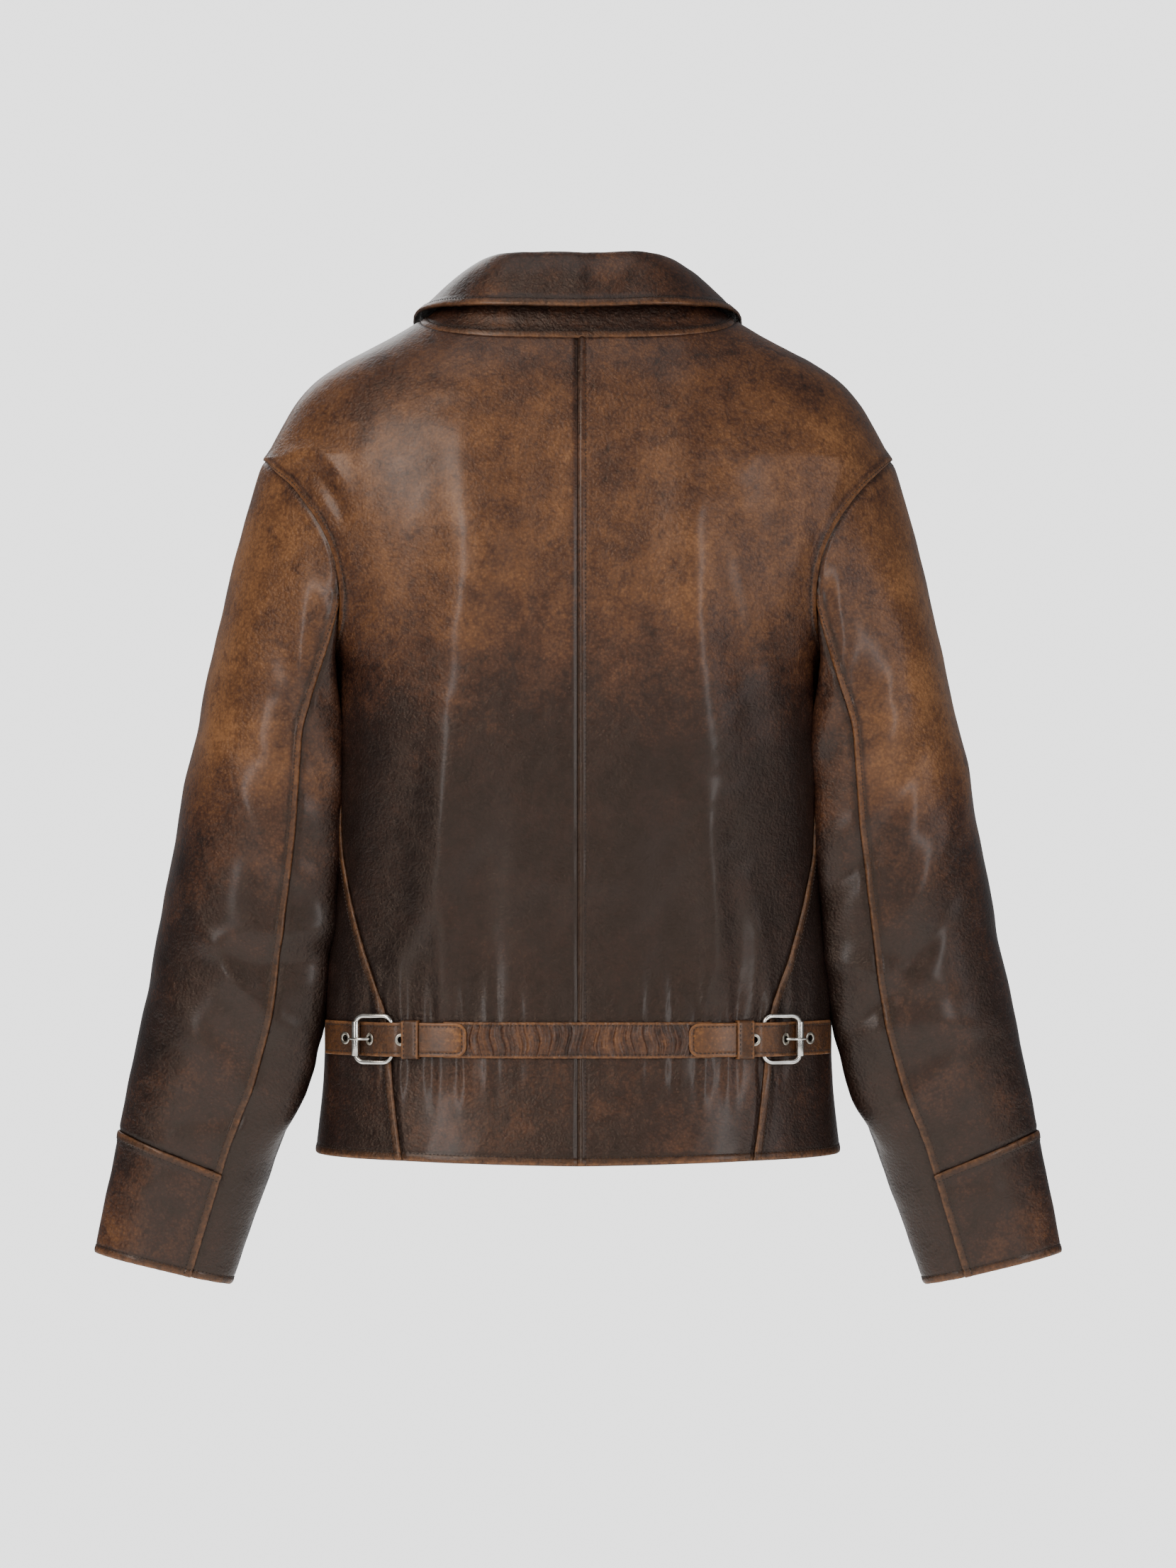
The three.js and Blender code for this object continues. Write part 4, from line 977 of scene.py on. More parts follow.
def torso_panels(side, tag):
    back = flip_side(back_base, side)
    first, lower = outer_seams(back, float(princess_start[1]))
    centre = ("centre", 8) if side < 0 else ("under", 6)
    edges = [
        (back[:, 0], *centre), (back[:first + 1, -1], "butt", 8), (back[first:lower + 1, -1], "over", 10),
        (back[lower:, -1], "under", 6), (back[0], "under", 6), (back[-1], "hem", 6),
    ]
    wanted = [("high", first, lower + 1), ("foot", 0, None)]
    if side < 0:
        wanted.append(("low", 0, None))
    finish_piece(
        build_panel(f"back_leather_{tag}", back, middle_of_body(back), body_folds(back), edges, wanted,
                    body_tone_and_ridge_highlight(back)),
        [f"back_panel_{tag}"], "torso")

    flank = flip_side(side_base, side)
    edges = [(flank[:, 0], "over", 10), (flank[:, -1], "under", 6), (flank[0], "over", 8),
             (flank[-1], "hem", 6)]
    wanted = [("low", 0, None), ("foot", 0, None), ("top", 0, None)]
    finish_piece(
        build_panel(f"side_leather_{tag}", flank, middle_of_body(flank), body_folds(flank), edges, wanted,
                    body_tone_and_ridge_highlight(flank) - 0.05),
        [f"side_panel_{tag}"], "torso")

    front = flip_side(front_base, side)
    first, lower = outer_seams(front, float(side_front_start[1]))
    edges = [
        (front[:, 0], "hem", 8), (front[:first + 1, -1], "butt", 8), (front[first:lower + 1, -1], "over", 10),
        (front[lower:, -1], "over", 6), (front[0], "under", 6), (front[-1], "hem", 6),
    ]
    wanted = [("low", 0, None), ("high", first, lower + 1), ("high", lower, None), ("foot", 0, None)]
    finish_piece(
        build_panel(f"front_leather_{tag}", front, middle_of_body(front), body_folds(front), edges, wanted,
                    body_tone_and_ridge_highlight(front)),
        [f"front_panel_{tag}"], "torso")


for side, tag in SIDES:
    torso_panels(side, tag)

# %% [markdown]
# ## The sleeves
# A sleeve is a wide top sleeve, a narrow under sleeve and a cuff panel. The top sleeve
# lies over the under sleeve with a raised, stitched edge that runs down the back of the
# arm. The arms hang, so the hide makes long soft folds down the arm and shorter slanted
# ones at the elbow. A sleeve turns at the shoulder, so its hide is blended from the body
# to the arm over the first stretch below the armhole.

# %% Folds and tone of a sleeve
# Each crease: share of the arm, turn round it, width and length in degrees, tilt, height.
SLEEVE_CREASES = {
    1: [(0.16, 118, 20, 44, 0.0022, 3.0), (0.22, 76, 24, 50, -0.0016, -2.4),
        (0.34, 60, 22, 60, 0.0009, 2.2), (0.46, 128, 15, 46, -0.0017, 3.0),
        (0.53, 112, 15, 50, -0.0014, -2.8), (0.59, 96, 15, 44, 0.0012, 2.8),
        (0.68, 70, 16, 44, 0.001, 2.0), (0.76, 108, 13, 40, -0.0012, -1.8), (0.5, 200, 18, 50, 0.001, 2.6),
        (0.6, 176, 15, 44, -0.001, -2.2), (0.42, 10, 26, 50, 0.0006, 1.8), (0.66, 15, 22, 44, -0.0006, -1.6)],
    -1: [(0.14, 122, 18, 40, 0.0024, 2.8), (0.25, 84, 26, 50, -0.0014, 2.4),
         (0.37, 110, 20, 50, 0.0012, -2.4), (0.45, 66, 20, 46, 0.0009, 2.2),
         (0.52, 126, 14, 44, -0.0018, 3.0), (0.58, 108, 14, 48, 0.0014, -2.8),
         (0.65, 88, 16, 46, -0.001, 2.4), (0.74, 116, 13, 40, 0.001, 1.8), (0.48, 205, 18, 50, -0.001, 2.6),
         (0.62, 182, 15, 44, 0.001, -2.0), (0.38, 8, 26, 50, 0.0006, 1.8), (0.6, 20, 22, 44, -0.0006, -1.6)],
}
SLEEVE_LENGTH = 620.0


def sleeve_folds(rounds, t, side):
    height = np.zeros(rounds.shape)
    for share, turn, width, reach, tilt, lift in SLEEVE_CREASES[side]:
        off = np.mod(rounds - turn + 180, 360) - 180
        across = (t - share - tilt * off) * SLEEVE_LENGTH
        height += lift * bell(across, width) * bell(off, reach)
    seed = 21 + side
    height += 1.5 * ripple(np.radians(rounds) * 2.4 + 2.2 * t, seed) * ease(t / 0.2)
    height += 0.4 * ripple(t * 46 + np.radians(rounds) * 1.5, seed + 2)
    near_cuff = ease((t - 0.9) / 0.1)
    return height * ease(t / 0.07) * (1 - 0.6 * near_cuff)


sleeve_tan = profile([(0, 0.62), (0.2, 0.66), (0.32, 0.56), (0.45, 0.36), (0.6, 0.24), (0.84, 0.24),
                      (1, 0.34)])


def sleeve_tone_and_inner_shade(rounds, t, side):
    outer = np.cos(np.radians(rounds))
    tone = sleeve_tan(t) + 0.16 * outer * (1 - ease((t - 0.3) / 0.4)) + 0.03 * outer
    # darker on the inner back side, facing the body: painted shade
    tone = tone - 0.1 * bell(np.mod(rounds, 360) - 158, 40)
    off = np.mod(rounds + 180, 360) - 180
    tone = tone + 0.28 * bell(t - 0.97, 0.035) * bell(off - 35, 40)
    tone = tone + 0.14 * bell(t - 0.27, 0.13) * bell(off - 40, 50)
    return tone + 0.07 * ripple(t * 15 + np.radians(rounds) * 1.3, 31 + side)


# %% Sleeve nets, with their middle line, turn and share of the arm carried along
def sleeve_net(first, last, low, high, across=34, down=70):
    rounds = np.linspace(first, last, across)[None, :]
    t = np.linspace(low, high, down)[:, None]
    rounds, t = np.broadcast_arrays(rounds, t)
    _, middle = sleeve_oval(rounds, t)
    return np.concatenate([on_sleeve(rounds, t), middle, rounds[..., None], t[..., None]], axis=-1)


LAP_DEEPEST, LAP_ROUND, LAP_REACH = 19.0, 139, 22   # millimetres, and degrees round the sleeve


def side_lap(rounds, t):
    """How far the hanging sleeve is pushed in towards the body, to leave no gap beside it."""
    along = ease((t - 0.02) / 0.14) * (1 - ease((t - 0.7) / 0.12))
    return LAP_DEEPEST * bell(np.mod(rounds, 360) - LAP_ROUND, LAP_REACH) * along


def sleeve_blend(side, tag):
    hole = (shoulder_point + armpit_point) / 2
    flip = np.array([side, 1, 1])
    start = (hole * flip + SHIFT) / 1000
    end = ((hole + HOLE_OUT * 100) * flip + SHIFT) / 1000
    return ("torso", f"sleeve_{tag}", tuple(start), tuple(end))


def sleeve_piece(name, node, side, tag, span, shares, kinds, wanted, tone_shift=0.0):
    net = respace(sleeve_net(*span, *shares), PITCH)
    rounds, t = net[..., 6], net[..., 7]
    net[..., 0] -= side_lap(rounds, t)
    point, middle = flip_side(net[..., :3], side), flip_side(net[..., 3:6], side)
    lines = {"low": point[:, 0], "high": point[:, -1], "top": point[0], "foot": point[-1]}
    edges = [(lines[edge], kind, reach) for edge, kind, reach in kinds]
    piece = build_panel(name, point, middle, sleeve_folds(rounds, t, side), edges, wanted,
                        sleeve_tone_and_inner_shade(rounds, t, side) + tone_shift)
    if shares[0] > 0:
        finish_piece(piece, [node], f"sleeve_{tag}")
    else:
        finish_piece(piece, [node], blend=sleeve_blend(side, tag))


# %% Top sleeve, under sleeve and cuff
for side, tag in SIDES:
    sleeve_piece(
        f"top_sleeve_leather_{tag}", f"top_sleeve_{tag}", side, tag,
        (FRONT_SLEEVE_SEAM - 360, BACK_SLEEVE_SEAM), (0, CUFF_SEAM_AT),
        [("low", "over", 10), ("high", "over", 12), ("top", "under", 6), ("foot", "under", 6)],
        [("low", 2, None), ("high", 2, None)])
    sleeve_piece(
        f"under_sleeve_leather_{tag}", f"under_sleeve_{tag}", side, tag,
        (BACK_SLEEVE_SEAM, FRONT_SLEEVE_SEAM), (0, 1),
        [("low", "under", 6), ("high", "under", 6), ("top", "under", 6), ("foot", "hem", 6)],
        [("foot", 0, None)], tone_shift=-0.05)
    sleeve_piece(
        f"cuff_leather_{tag}", f"cuff_panel_{tag}", side, tag,
        (FRONT_SLEEVE_SEAM - 360, BACK_SLEEVE_SEAM), (CUFF_SEAM_AT, 1),
        [("low", "over", 8), ("high", "over", 8), ("top", "over", 10), ("foot", "hem", 6)],
        [("low", 2, -2), ("high", 2, -2), ("top", 2, -2), ("foot", 2, -2)], tone_shift=0.04)

# %% [markdown]
# ## The collar
# The collar is one stand, sewn to the neck seam, and one fall that rolls over it. The
# roll is what a shirt collar and a jacket collar share: the fall starts inside the neck,
# bends over a soft fold and drops outside to a thick stitched edge. Here the fall is one
# closed layer that follows that whole path, so its roll is round from every side.

# %% The collar's lines round the neck
STAND_THICK = 2.2
FALL_THICK = 2.5
STAND_LAP = 2.6          # the stand laps this far over the body panels at the neck seam
COLLAR_GAP = 0.35


def rounded_line(points):
    """A smooth curve through a few points in space, as a function of the share along it."""
    nodes = np.array(points, float)
    nodes = np.vstack([2 * nodes[0] - nodes[1], nodes, 2 * nodes[-1] - nodes[-2]])
    gaps = np.linalg.norm(np.diff(nodes, axis=0), axis=1) ** 0.5
    knots = np.concatenate([[0], np.cumsum(gaps)])
    count = len(points) - 1

    def at(share):
        share = np.clip(np.asarray(share, float), 0, 1)
        i = np.minimum((share * count).astype(int), count - 1)
        t = (share * count - i)[..., None]
        p0, p1, p2, p3 = (nodes[i + k] for k in range(4))
        k0, k1, k2, k3 = (knots[i + k][..., None] for k in range(4))
        m1 = (k2 - k1) * ((p1 - p0) / (k1 - k0) - (p2 - p0) / (k2 - k0) + (p2 - p1) / (k2 - k1))
        m2 = (k2 - k1) * ((p2 - p1) / (k2 - k1) - (p3 - p1) / (k3 - k1) + (p3 - p2) / (k3 - k2))
        return ((2 * t ** 3 - 3 * t ** 2 + 1) * p1 + (t ** 3 - 2 * t ** 2 + t) * m1
                + (-2 * t ** 3 + 3 * t ** 2) * p2 + (t ** 3 - t ** 2) * m2)

    return at


fold_line = rounded_line([
    (0, BACK_DEPTHS["neck"] - 16, 63), (0.52 * NECK_HALF, BACK_DEPTHS["neck"] - 28, NECK_TOP + 46),
    (0.735 * NECK_HALF, -4, NECK_TOP + 31), (0.6 * NECK_HALF, -FRONT_DEPTHS["neck"] + 2, 8),
    (0.17 * NECK_HALF, -FRONT_DEPTHS["chest"] + 8, -FRONT_NECK_DROP + 32),
])
fall_edge = rounded_line([
    (0, BACK_DEPTHS["neck"] + 8, 21), (0.7 * NECK_HALF, BACK_DEPTHS["neck"] - 7, NECK_TOP + 7),
    (NECK_HALF + 4, 3, NECK_TOP + 5), (0.97 * NECK_HALF, -FRONT_DEPTHS["neck"] - 8, -6),
    (0.5 * NECK_HALF, -FRONT_DEPTHS["chest"] - 12, -FRONT_NECK_DROP - 4),
])


def collar_out(q, rise=1.0):
    swing = np.radians(q * 90)
    out = np.stack([np.sin(swing), np.cos(swing), np.full(q.shape, 1.05 * rise)], axis=-1)
    return out / np.linalg.norm(out, axis=-1, keepdims=True)


def neck_point(q):
    back = q <= 1
    turn_back, z_back = neck_seam(np.clip(q, 0, 1), True)
    turn_front, z_front = neck_seam(np.clip(2 - q, 0, 1), False)
    return on_body(np.where(back, turn_back, turn_front), np.where(back, z_back, z_front))


def whole_round(make):
    """Lays a half made by make(q) on both sides, from one front end round to the other."""
    half = make(np.linspace(0, 2, 70))
    other = half[:, ::-1] * np.array([-1, 1, 1])
    return np.concatenate([other[:, :-1], half], axis=1)


# %% The stand
def stand_rows(q):
    foot = neck_point(q) - np.array([0, 0, STAND_LAP]) + collar_out(q, 0.0) * 0.4
    top = fold_line(q / 2) - collar_out(q) * (FALL_THICK + COLLAR_GAP)
    share = np.linspace(0, 1, 24)[:, None, None]
    return mix(foot[None], top[None], share)


stand_net = respace(whole_round(stand_rows), PITCH)
stand_folds = 0.3 * ripple(stand_net[..., 0] / 9, 41)
stand_piece = build_panel(
    "collar_stand_leather", stand_net, middle_of_body(stand_net), stand_folds,
    [(stand_net[0], "over", 8)], [("top", 2, -2)], np.full(stand_folds.shape, 0.36), thick=STAND_THICK)
finish_piece(stand_piece, ["collar_stand"], "torso")


# %% The fall, rolled over its fold
ROLL_RADIUS = 4.4
ROLL_BACK = 12.0         # how far the roll turns down inside the neck
ROLL_TURN = math.radians(140)


def fall_rows(q):
    fold, edge = fold_line(q / 2), fall_edge(q / 2)
    out, level = collar_out(q), collar_out(q, 0.0)
    over = np.array([0, 0, 1]) * np.hypot(out[:, :1], out[:, 1:2]) - level * out[:, 2:]
    share = np.linspace(0, 1, 40)[:, None, None]
    drop = mix(fold[None], edge[None], share) + 4 * np.sin(np.pi * share) * (1 - share) * out[None]
    turn = np.linspace(ROLL_TURN, 0, 14, endpoint=False)[:, None, None]
    hub = fold - out * ROLL_RADIUS
    roll = hub[None] + ROLL_RADIUS * (np.cos(turn) * out[None] + np.sin(turn) * over[None])
    tail = roll[:1] - np.linspace(1, 0, 6, endpoint=False)[:, None, None] * np.array([0, 0, ROLL_BACK])
    return np.concatenate([tail, roll, drop], axis=0)


fall_net = respace(whole_round(fall_rows), 3.4)
fall_wave = 0.7 * ripple(fall_net[..., 0] / 26, 43)
fall_wave += 0.35 * ripple(fall_net[..., 0] / 8 + fall_net[..., 2] / 12, 44)
fall_tone = 0.42 + 0.08 * ripple(fall_net[..., 0] / 22, 45)
fall_piece = build_panel(
    "collar_fall_leather", fall_net, middle_of_body(fall_net), fall_wave,
    [(fall_net[-1], "over", 12), (fall_net[:, 0], "over", 10), (fall_net[:, -1], "over", 10)],
    [("foot", 2, -2), ("low", 8, -2), ("high", 8, -2)], fall_tone, thick=HIDE)
finish_piece(fall_piece, ["collar_fall"], "torso")
print("fall net:", fall_net.shape)

# %% [markdown]
# ## The waist band and the two adjusters
# A gathered band crosses the small of the back. At each end a strap from the side seam
# runs under a buckle's roller, over its heel bar and through a keeper loop, so the waist
# can be drawn in. Everything here is placed by reach, the distance along the waist from
# the buckle's middle towards the side seam, by height off the body, and by height up it.

# %% Sizes of the adjusters, in millimetres
STRAP_HALF = 12.75
STRAP_THICK = 2.4
TIP_ROUND = 8.0          # corner radius of a strap's cut end
BAND_HALF = 13.5
BAND_THICK = 2.0
BAND_END_X, BUCKLE_X, STRAP_TIP_X, STRAP_ROOT_X = 100, 151, 83, 189
LAY_GAP = 0.3
BUCKLE_REACH = 14
BAR_RADIUS, ROLLER_RADIUS, ROLLER_LENGTH = 1.4, 3.0, 26
FRAME_HALF, FRAME_RADIUS = 17.3, 1.9
HUB_RADIUS, PRONG_RADIUS, RUN_CLEAR = 2.4, 1.0, 0.3
EYELET_PITCH, EYELET_OFFSET = 25, 2
EYELET_OUTER, EYELET_INNER, EYELET_WALL, FLANGE_THICK = 4.75, 2.4, 0.3, 0.5
KEEPER_MIDDLE, KEEPER_HALF, KEEPER_THICK = -30, 6, 1.6

plan = on_body(np.radians(np.linspace(0.23, 90, 401)), BELT_Z)
plan_length = run_along(plan)
plan_along = np.gradient(plan, axis=0)
plan_along /= np.linalg.norm(plan_along, axis=1, keepdims=True)


def length_at_x(x):
    return plan_length[int(np.argmax(plan[:, 0] <= x))]


buckle_length = length_at_x(BUCKLE_X)


def beside(reach, height=0.0, z=0.0):
    """A point beside the waist, and the way out of the body there."""
    reach, height, z = np.broadcast_arrays(*(np.asarray(v, float) for v in (reach, height, z)))
    length = buckle_length - reach
    point = place_at(length, plan_length, plan)
    along = place_at(length, plan_length, plan_along[:, :2])
    out = np.stack([along[..., 1], -along[..., 0], np.zeros(length.shape)], axis=-1)
    out = out * np.sign((out * point).sum(axis=-1))[..., None]
    return point + out * height[..., None] + np.array([0, 0, 1]) * z[..., None], out


tip_reach = buckle_length - length_at_x(STRAP_TIP_X)
root_reach = buckle_length - length_at_x(STRAP_ROOT_X)
band_reach = buckle_length - length_at_x(BAND_END_X)
HEEL_HEIGHT = HUB_RADIUS + 0.5
STRAP_REST = BAND_THICK + 2 * LAY_GAP
STRAP_OVER_HUB = HEEL_HEIGHT + HUB_RADIUS + 0.7
ROLLER_HEIGHT = LAY_GAP + STRAP_THICK + FLANGE_THICK + LAY_GAP + ROLLER_RADIUS
strap_lift = profile([(tip_reach, STRAP_REST), (-34, STRAP_REST), (-BUCKLE_REACH - 2, STRAP_OVER_HUB),
                      (-4, STRAP_OVER_HUB - 0.4), (0, 4.4), (4, 2.6), (8, 1.2),
                      (BUCKLE_REACH - 3, LAY_GAP + 0.1), (root_reach, LAY_GAP)])
print("strap from", round(tip_reach, 1), "to", round(root_reach, 1), "band from", round(band_reach, 1))


def layer_from(name, net, out, edges, wanted, tone, thick, materials, inset=2.6):
    """A strip of leather with its own way out at each point, stitched close to its edges."""
    height, wear, dark = np.zeros(net.shape[:2]), np.zeros(net.shape[:2]), np.zeros(net.shape[:2])
    for line in edges:
        s = distance_to(net, line)
        height += 0.85 * (rolled(s, 1.1) - 1) - 0.28 * bell(s - inset, 0.7)
        wear = np.maximum(wear, 0.9 * bell(s - 0.5, 1.5))
        # painted shade along the stitch groove
        dark -= 0.12 * bell(s - inset, 1.2)
    shaped = net + out * height[..., None]
    rows = []
    for edge, low, high in wanted:
        line, up = sample_inset(shaped, out, edge, inset)
        rows.append((line[low:high], up[low:high]))
    return closed_layer(name, shaped, out, thick, materials, {"tone": tone + dark, "wear": wear}, rows)


# %% The gathered band
def band_half_net(rows=30):
    reach = np.linspace(band_reach, buckle_length - plan_length[-1], 150)
    z = np.concatenate([[-BAND_HALF, -BAND_HALF + 0.5, -BAND_HALF + 1.2],
                        np.linspace(-BAND_HALF + 2, BAND_HALF - 2, rows - 6),
                        [BAND_HALF - 1.2, BAND_HALF - 0.5, BAND_HALF]])
    point, out = beside(reach[None, :], LAY_GAP + BAND_THICK, z[:, None])
    point[..., 0][:, -1] = 0
    return point, out


band_point, band_out = band_half_net()
other_point, other_out = flip_side(band_point, -1)[:, ::-1], flip_side(band_out, -1)[:, ::-1]
band_point = np.concatenate([band_point[:, :-1], other_point], axis=1)
band_out = np.concatenate([band_out[:, :-1], other_out], axis=1)
band_x, band_z = band_point[..., 0], band_point[..., 2] - BELT_Z
GATHER_MM = 7.0          # the band is drawn in by a hidden elastic, a gather every 7 mm
across_band = np.cos(np.clip(band_z / BAND_HALF, -1, 1) * np.pi / 2) ** 0.35
lean = band_x + 1.6 * np.sin(band_z / 5.0 + band_x / 17)
gathers = 1.15 * ripple(2 * np.pi * lean / GATHER_MM / 1.2, 51)
gathers = gathers * across_band * ease((96 - np.abs(band_x)) / 16)
band_point = band_point + band_out * (gathers + 0.5 * across_band)[..., None]
# lighter on the gathers' crests and darker in their hollows: painted highlight and shade
band_tone_and_gather_shade = 0.5 + 0.13 * gathers + 0.07 * ripple(band_x / 12, 52)
band_edges = [band_point[0], band_point[-1]]
band = layer_from("waist_band_leather", band_point, band_out, band_edges,
                  [("top", 1, -1), ("foot", 1, -1)], band_tone_and_gather_shade, BAND_THICK, [hide, thread], inset=2.8)
finish_piece(band, ["waist_band"], "torso")


# %% Straps, with their punched holes
def tip_half(reach):
    from_tip = np.minimum(reach - tip_reach, TIP_ROUND) / TIP_ROUND
    return STRAP_HALF - TIP_ROUND * (1 - np.sqrt(np.clip(1 - (1 - from_tip) ** 2, 0.01, 1)))


def strap_frame(reach, side):
    """The middle of the strap at a reach, and the ways along, out and up there."""
    here, out = beside(reach, strap_lift(reach) + STRAP_THICK / 2)
    following, _ = beside(reach - 1, strap_lift(reach - 1) + STRAP_THICK / 2)
    along = following - here
    along /= np.linalg.norm(along)
    out = np.cross(along, [0, 0, 1.0])
    out *= np.sign(out @ here)
    return flip_side(here, side), flip_side(along, side), flip_side(out, side)


def lathe(outline, sides=36):
    """Verts and faces of a closed ring turned about the second axis; outline is (radius, along)."""
    angles = np.linspace(0, 2 * np.pi, sides, endpoint=False)
    outline = np.array(outline, float)
    verts = np.stack([
        outline[None, :, 0] * np.cos(angles)[:, None], np.broadcast_to(outline[:, 1], (sides, len(outline))),
        outline[None, :, 0] * np.sin(angles)[:, None]], axis=-1).reshape(-1, 3)
    count = len(outline)
    faces = [(i * count + j, i * count + (j + 1) % count, ((i + 1) % sides) * count + (j + 1) % count,
              ((i + 1) % sides) * count + j) for i in range(sides) for j in range(count)]
    return verts, faces


def placed(verts, origin, axis_x, axis_y, axis_z):
    return origin + verts[:, :1] * axis_x + verts[:, 1:2] * axis_y + verts[:, 2:] * axis_z


def face_out(piece):
    mesh = piece.data
    work = bmesh.new()
    work.from_mesh(mesh)
    bmesh.ops.recalc_face_normals(work, faces=work.faces)
    work.to_mesh(mesh)
    work.free()
    return piece


def cut_round(piece, origin, axis, radius):
    """Punches a round hole through a piece along an axis; lengths in millimetres."""
    work = bmesh.new()
    place = Vector((np.asarray(origin) + SHIFT) / 1000)
    turn = Vector(axis).to_track_quat("Z", "Y").to_matrix().to_4x4()
    turn.translation = place
    bmesh.ops.create_cone(work, cap_ends=True, segments=32, radius1=radius / 1000, radius2=radius / 1000,
                          depth=0.014, matrix=turn)
    mesh = bpy.data.meshes.new("punch")
    work.to_mesh(mesh)
    work.free()
    punch = bpy.data.objects.new("punch", mesh)
    bpy.context.scene.collection.objects.link(punch)
    cut = piece.modifiers.new("punch", "BOOLEAN")
    cut.object, cut.operation, cut.solver = punch, "DIFFERENCE", "EXACT"
    made = bpy.data.meshes.new_from_object(piece.evaluated_get(bpy.context.evaluated_depsgraph_get()))
    piece.modifiers.clear()
    piece.data = made
    bpy.data.objects.remove(punch)


eyelet_reaches = [EYELET_OFFSET + EYELET_PITCH, EYELET_OFFSET, EYELET_OFFSET - EYELET_PITCH]


def strap_net():
    near_tip = tip_reach + np.array([0, 0.15, 0.5, 1.1, 2.0, 3.0, 4.2, 5.6, 7.2, 9.0, 11.0, 12.9])
    reach = np.concatenate([near_tip, np.arange(tip_reach + 14.5, root_reach, 1.6), [root_reach]])
    rows = np.concatenate([[-1, -0.965, -0.91, -0.85, -0.78, -0.7], np.linspace(-0.6, 0.6, 9),
                           [0.7, 0.78, 0.85, 0.91, 0.965, 1]])
    z = rows[:, None] * tip_half(reach)[None, :]
    point, out = beside(reach[None, :], strap_lift(reach)[None, :] + STRAP_THICK, z)
    return point, out, reach


strap_point, strap_out, strap_reach = strap_net()
for side, tag in SIDES:
    point, out = flip_side(strap_point, side), flip_side(strap_out, side)
    burnish = 0.5 + 0.3 * bell(strap_reach - tip_reach, 22) - 0.12 * bell(strap_reach - 16, 14)
    burnish = np.broadcast_to(burnish, point.shape[:2]) + 0.07 * ripple(strap_reach / 9 + side, 55)
    rim = [point[0], point[-1], point[:, 0], point[:, -1]]
    strap = layer_from(f"waist_strap_leather_{tag}", point, out, rim, [], burnish, STRAP_THICK,
                       [strap_hide, thread])
    for reach in eyelet_reaches:
        here, _, outward_way = strap_frame(reach, side)
        cut_round(strap, here, outward_way, EYELET_INNER + EYELET_WALL + 0.15)
    finish_piece(strap, [f"waist_strap_{tag}"], "torso")

    # two rows of thread, joined by an arc round the tip
    inset = 2.9
    reach_line = np.linspace(root_reach - 2, tip_reach + inset + 0.4, 160)
    half_line = np.clip(tip_half(reach_line) - inset, 0.6, None)
    reach_line = np.concatenate([reach_line, reach_line[::-1]])
    half_line = np.concatenate([half_line, -half_line[::-1]])
    line, up = beside(reach_line, strap_lift(reach_line) + STRAP_THICK - 0.15, half_line)
    verts, faces = stitch_row(flip_side(line, side), flip_side(up, side))
    stitches = new_object(f"waist_strap_thread_{tag}", verts, faces, [thread])
    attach(stitches, "torso")

# %% Buckle tabs and keeper loops
for side, tag in SIDES:
    reach = np.linspace(-BUCKLE_REACH - HUB_RADIUS - 1, band_reach + LAY_GAP, 34)
    z = np.concatenate([[-1, -0.965, -0.9], np.linspace(-0.8, 0.8, 9), [0.9, 0.965, 1]]) * STRAP_HALF
    point, out = beside(reach[None, :], LAY_GAP + BAND_THICK, z[:, None])
    point, out = flip_side(point, side), flip_side(out, side)
    tab = layer_from(f"buckle_tab_leather_{tag}", point, out, [point[0], point[-1], point[:, 0]],
                     [("top", 1, -1), ("foot", 1, -1)], np.full(point.shape[:2], 0.45), BAND_THICK,
                     [strap_hide, thread])
    finish_piece(tab, [f"buckle_tab_{tag}"], "torso")

    inner = STRAP_REST + STRAP_THICK + FLANGE_THICK + 2 * LAY_GAP
    wall = STRAP_HALF + LAY_GAP + KEEPER_THICK
    bend = 2.6
    angles = np.linspace(0, np.pi / 2, 7)
    top = inner + KEEPER_THICK
    corner = [(-wall + bend * (1 - math.cos(a)), top - bend * (1 - math.sin(a))) for a in angles]
    path = [(-wall, 0.4), (-wall, 2.5)] + corner
    path += [(share * (wall - bend), top) for share in np.linspace(-0.8, 0.8, 9)]
    path += [(-a, b) for a, b in path[:9][::-1]]
    path = np.array(path)
    reach = KEEPER_MIDDLE + KEEPER_HALF * np.array([-1, -0.94, -0.82, -0.6, -0.3, 0, 0.3, 0.6, 0.82, 0.94, 1])
    lift = np.where(path[:, 1] > STRAP_REST, 1.0, 0.0)[:, None] * (strap_lift(reach) - STRAP_REST)[None, :]
    point, out = beside(reach[None, :], path[:, 1:2] + lift, path[:, :1])
    tangent = np.gradient(path, axis=0)
    tangent /= np.linalg.norm(tangent, axis=1, keepdims=True)
    away = out * tangent[:, :1, None] + np.array([0, 0, 1]) * -tangent[:, 1:2, None]
    point, away = flip_side(point, side), flip_side(away, side)
    keeper = layer_from(f"strap_keeper_leather_{tag}", point, away, [point[:, 0], point[:, -1]],
                        [("low", 1, -1), ("high", 1, -1)], np.full(point.shape[:2], 0.42), KEEPER_THICK,
                        [strap_hide, thread], inset=2.0)
    finish_piece(keeper, [f"strap_keeper_{tag}"], "torso")

# %% [markdown]
# ## Metal
# The buckles are steel, polished and nickel plated: bright, slightly warm, with fine
# rubbing scratches. The eyelets are the same plate, duller in their rolled rims. The zip
# is cast brass that has gone brown in its valleys. A polished metal shows what is round
# it, so its roughness is low and its shape has to be truly round.

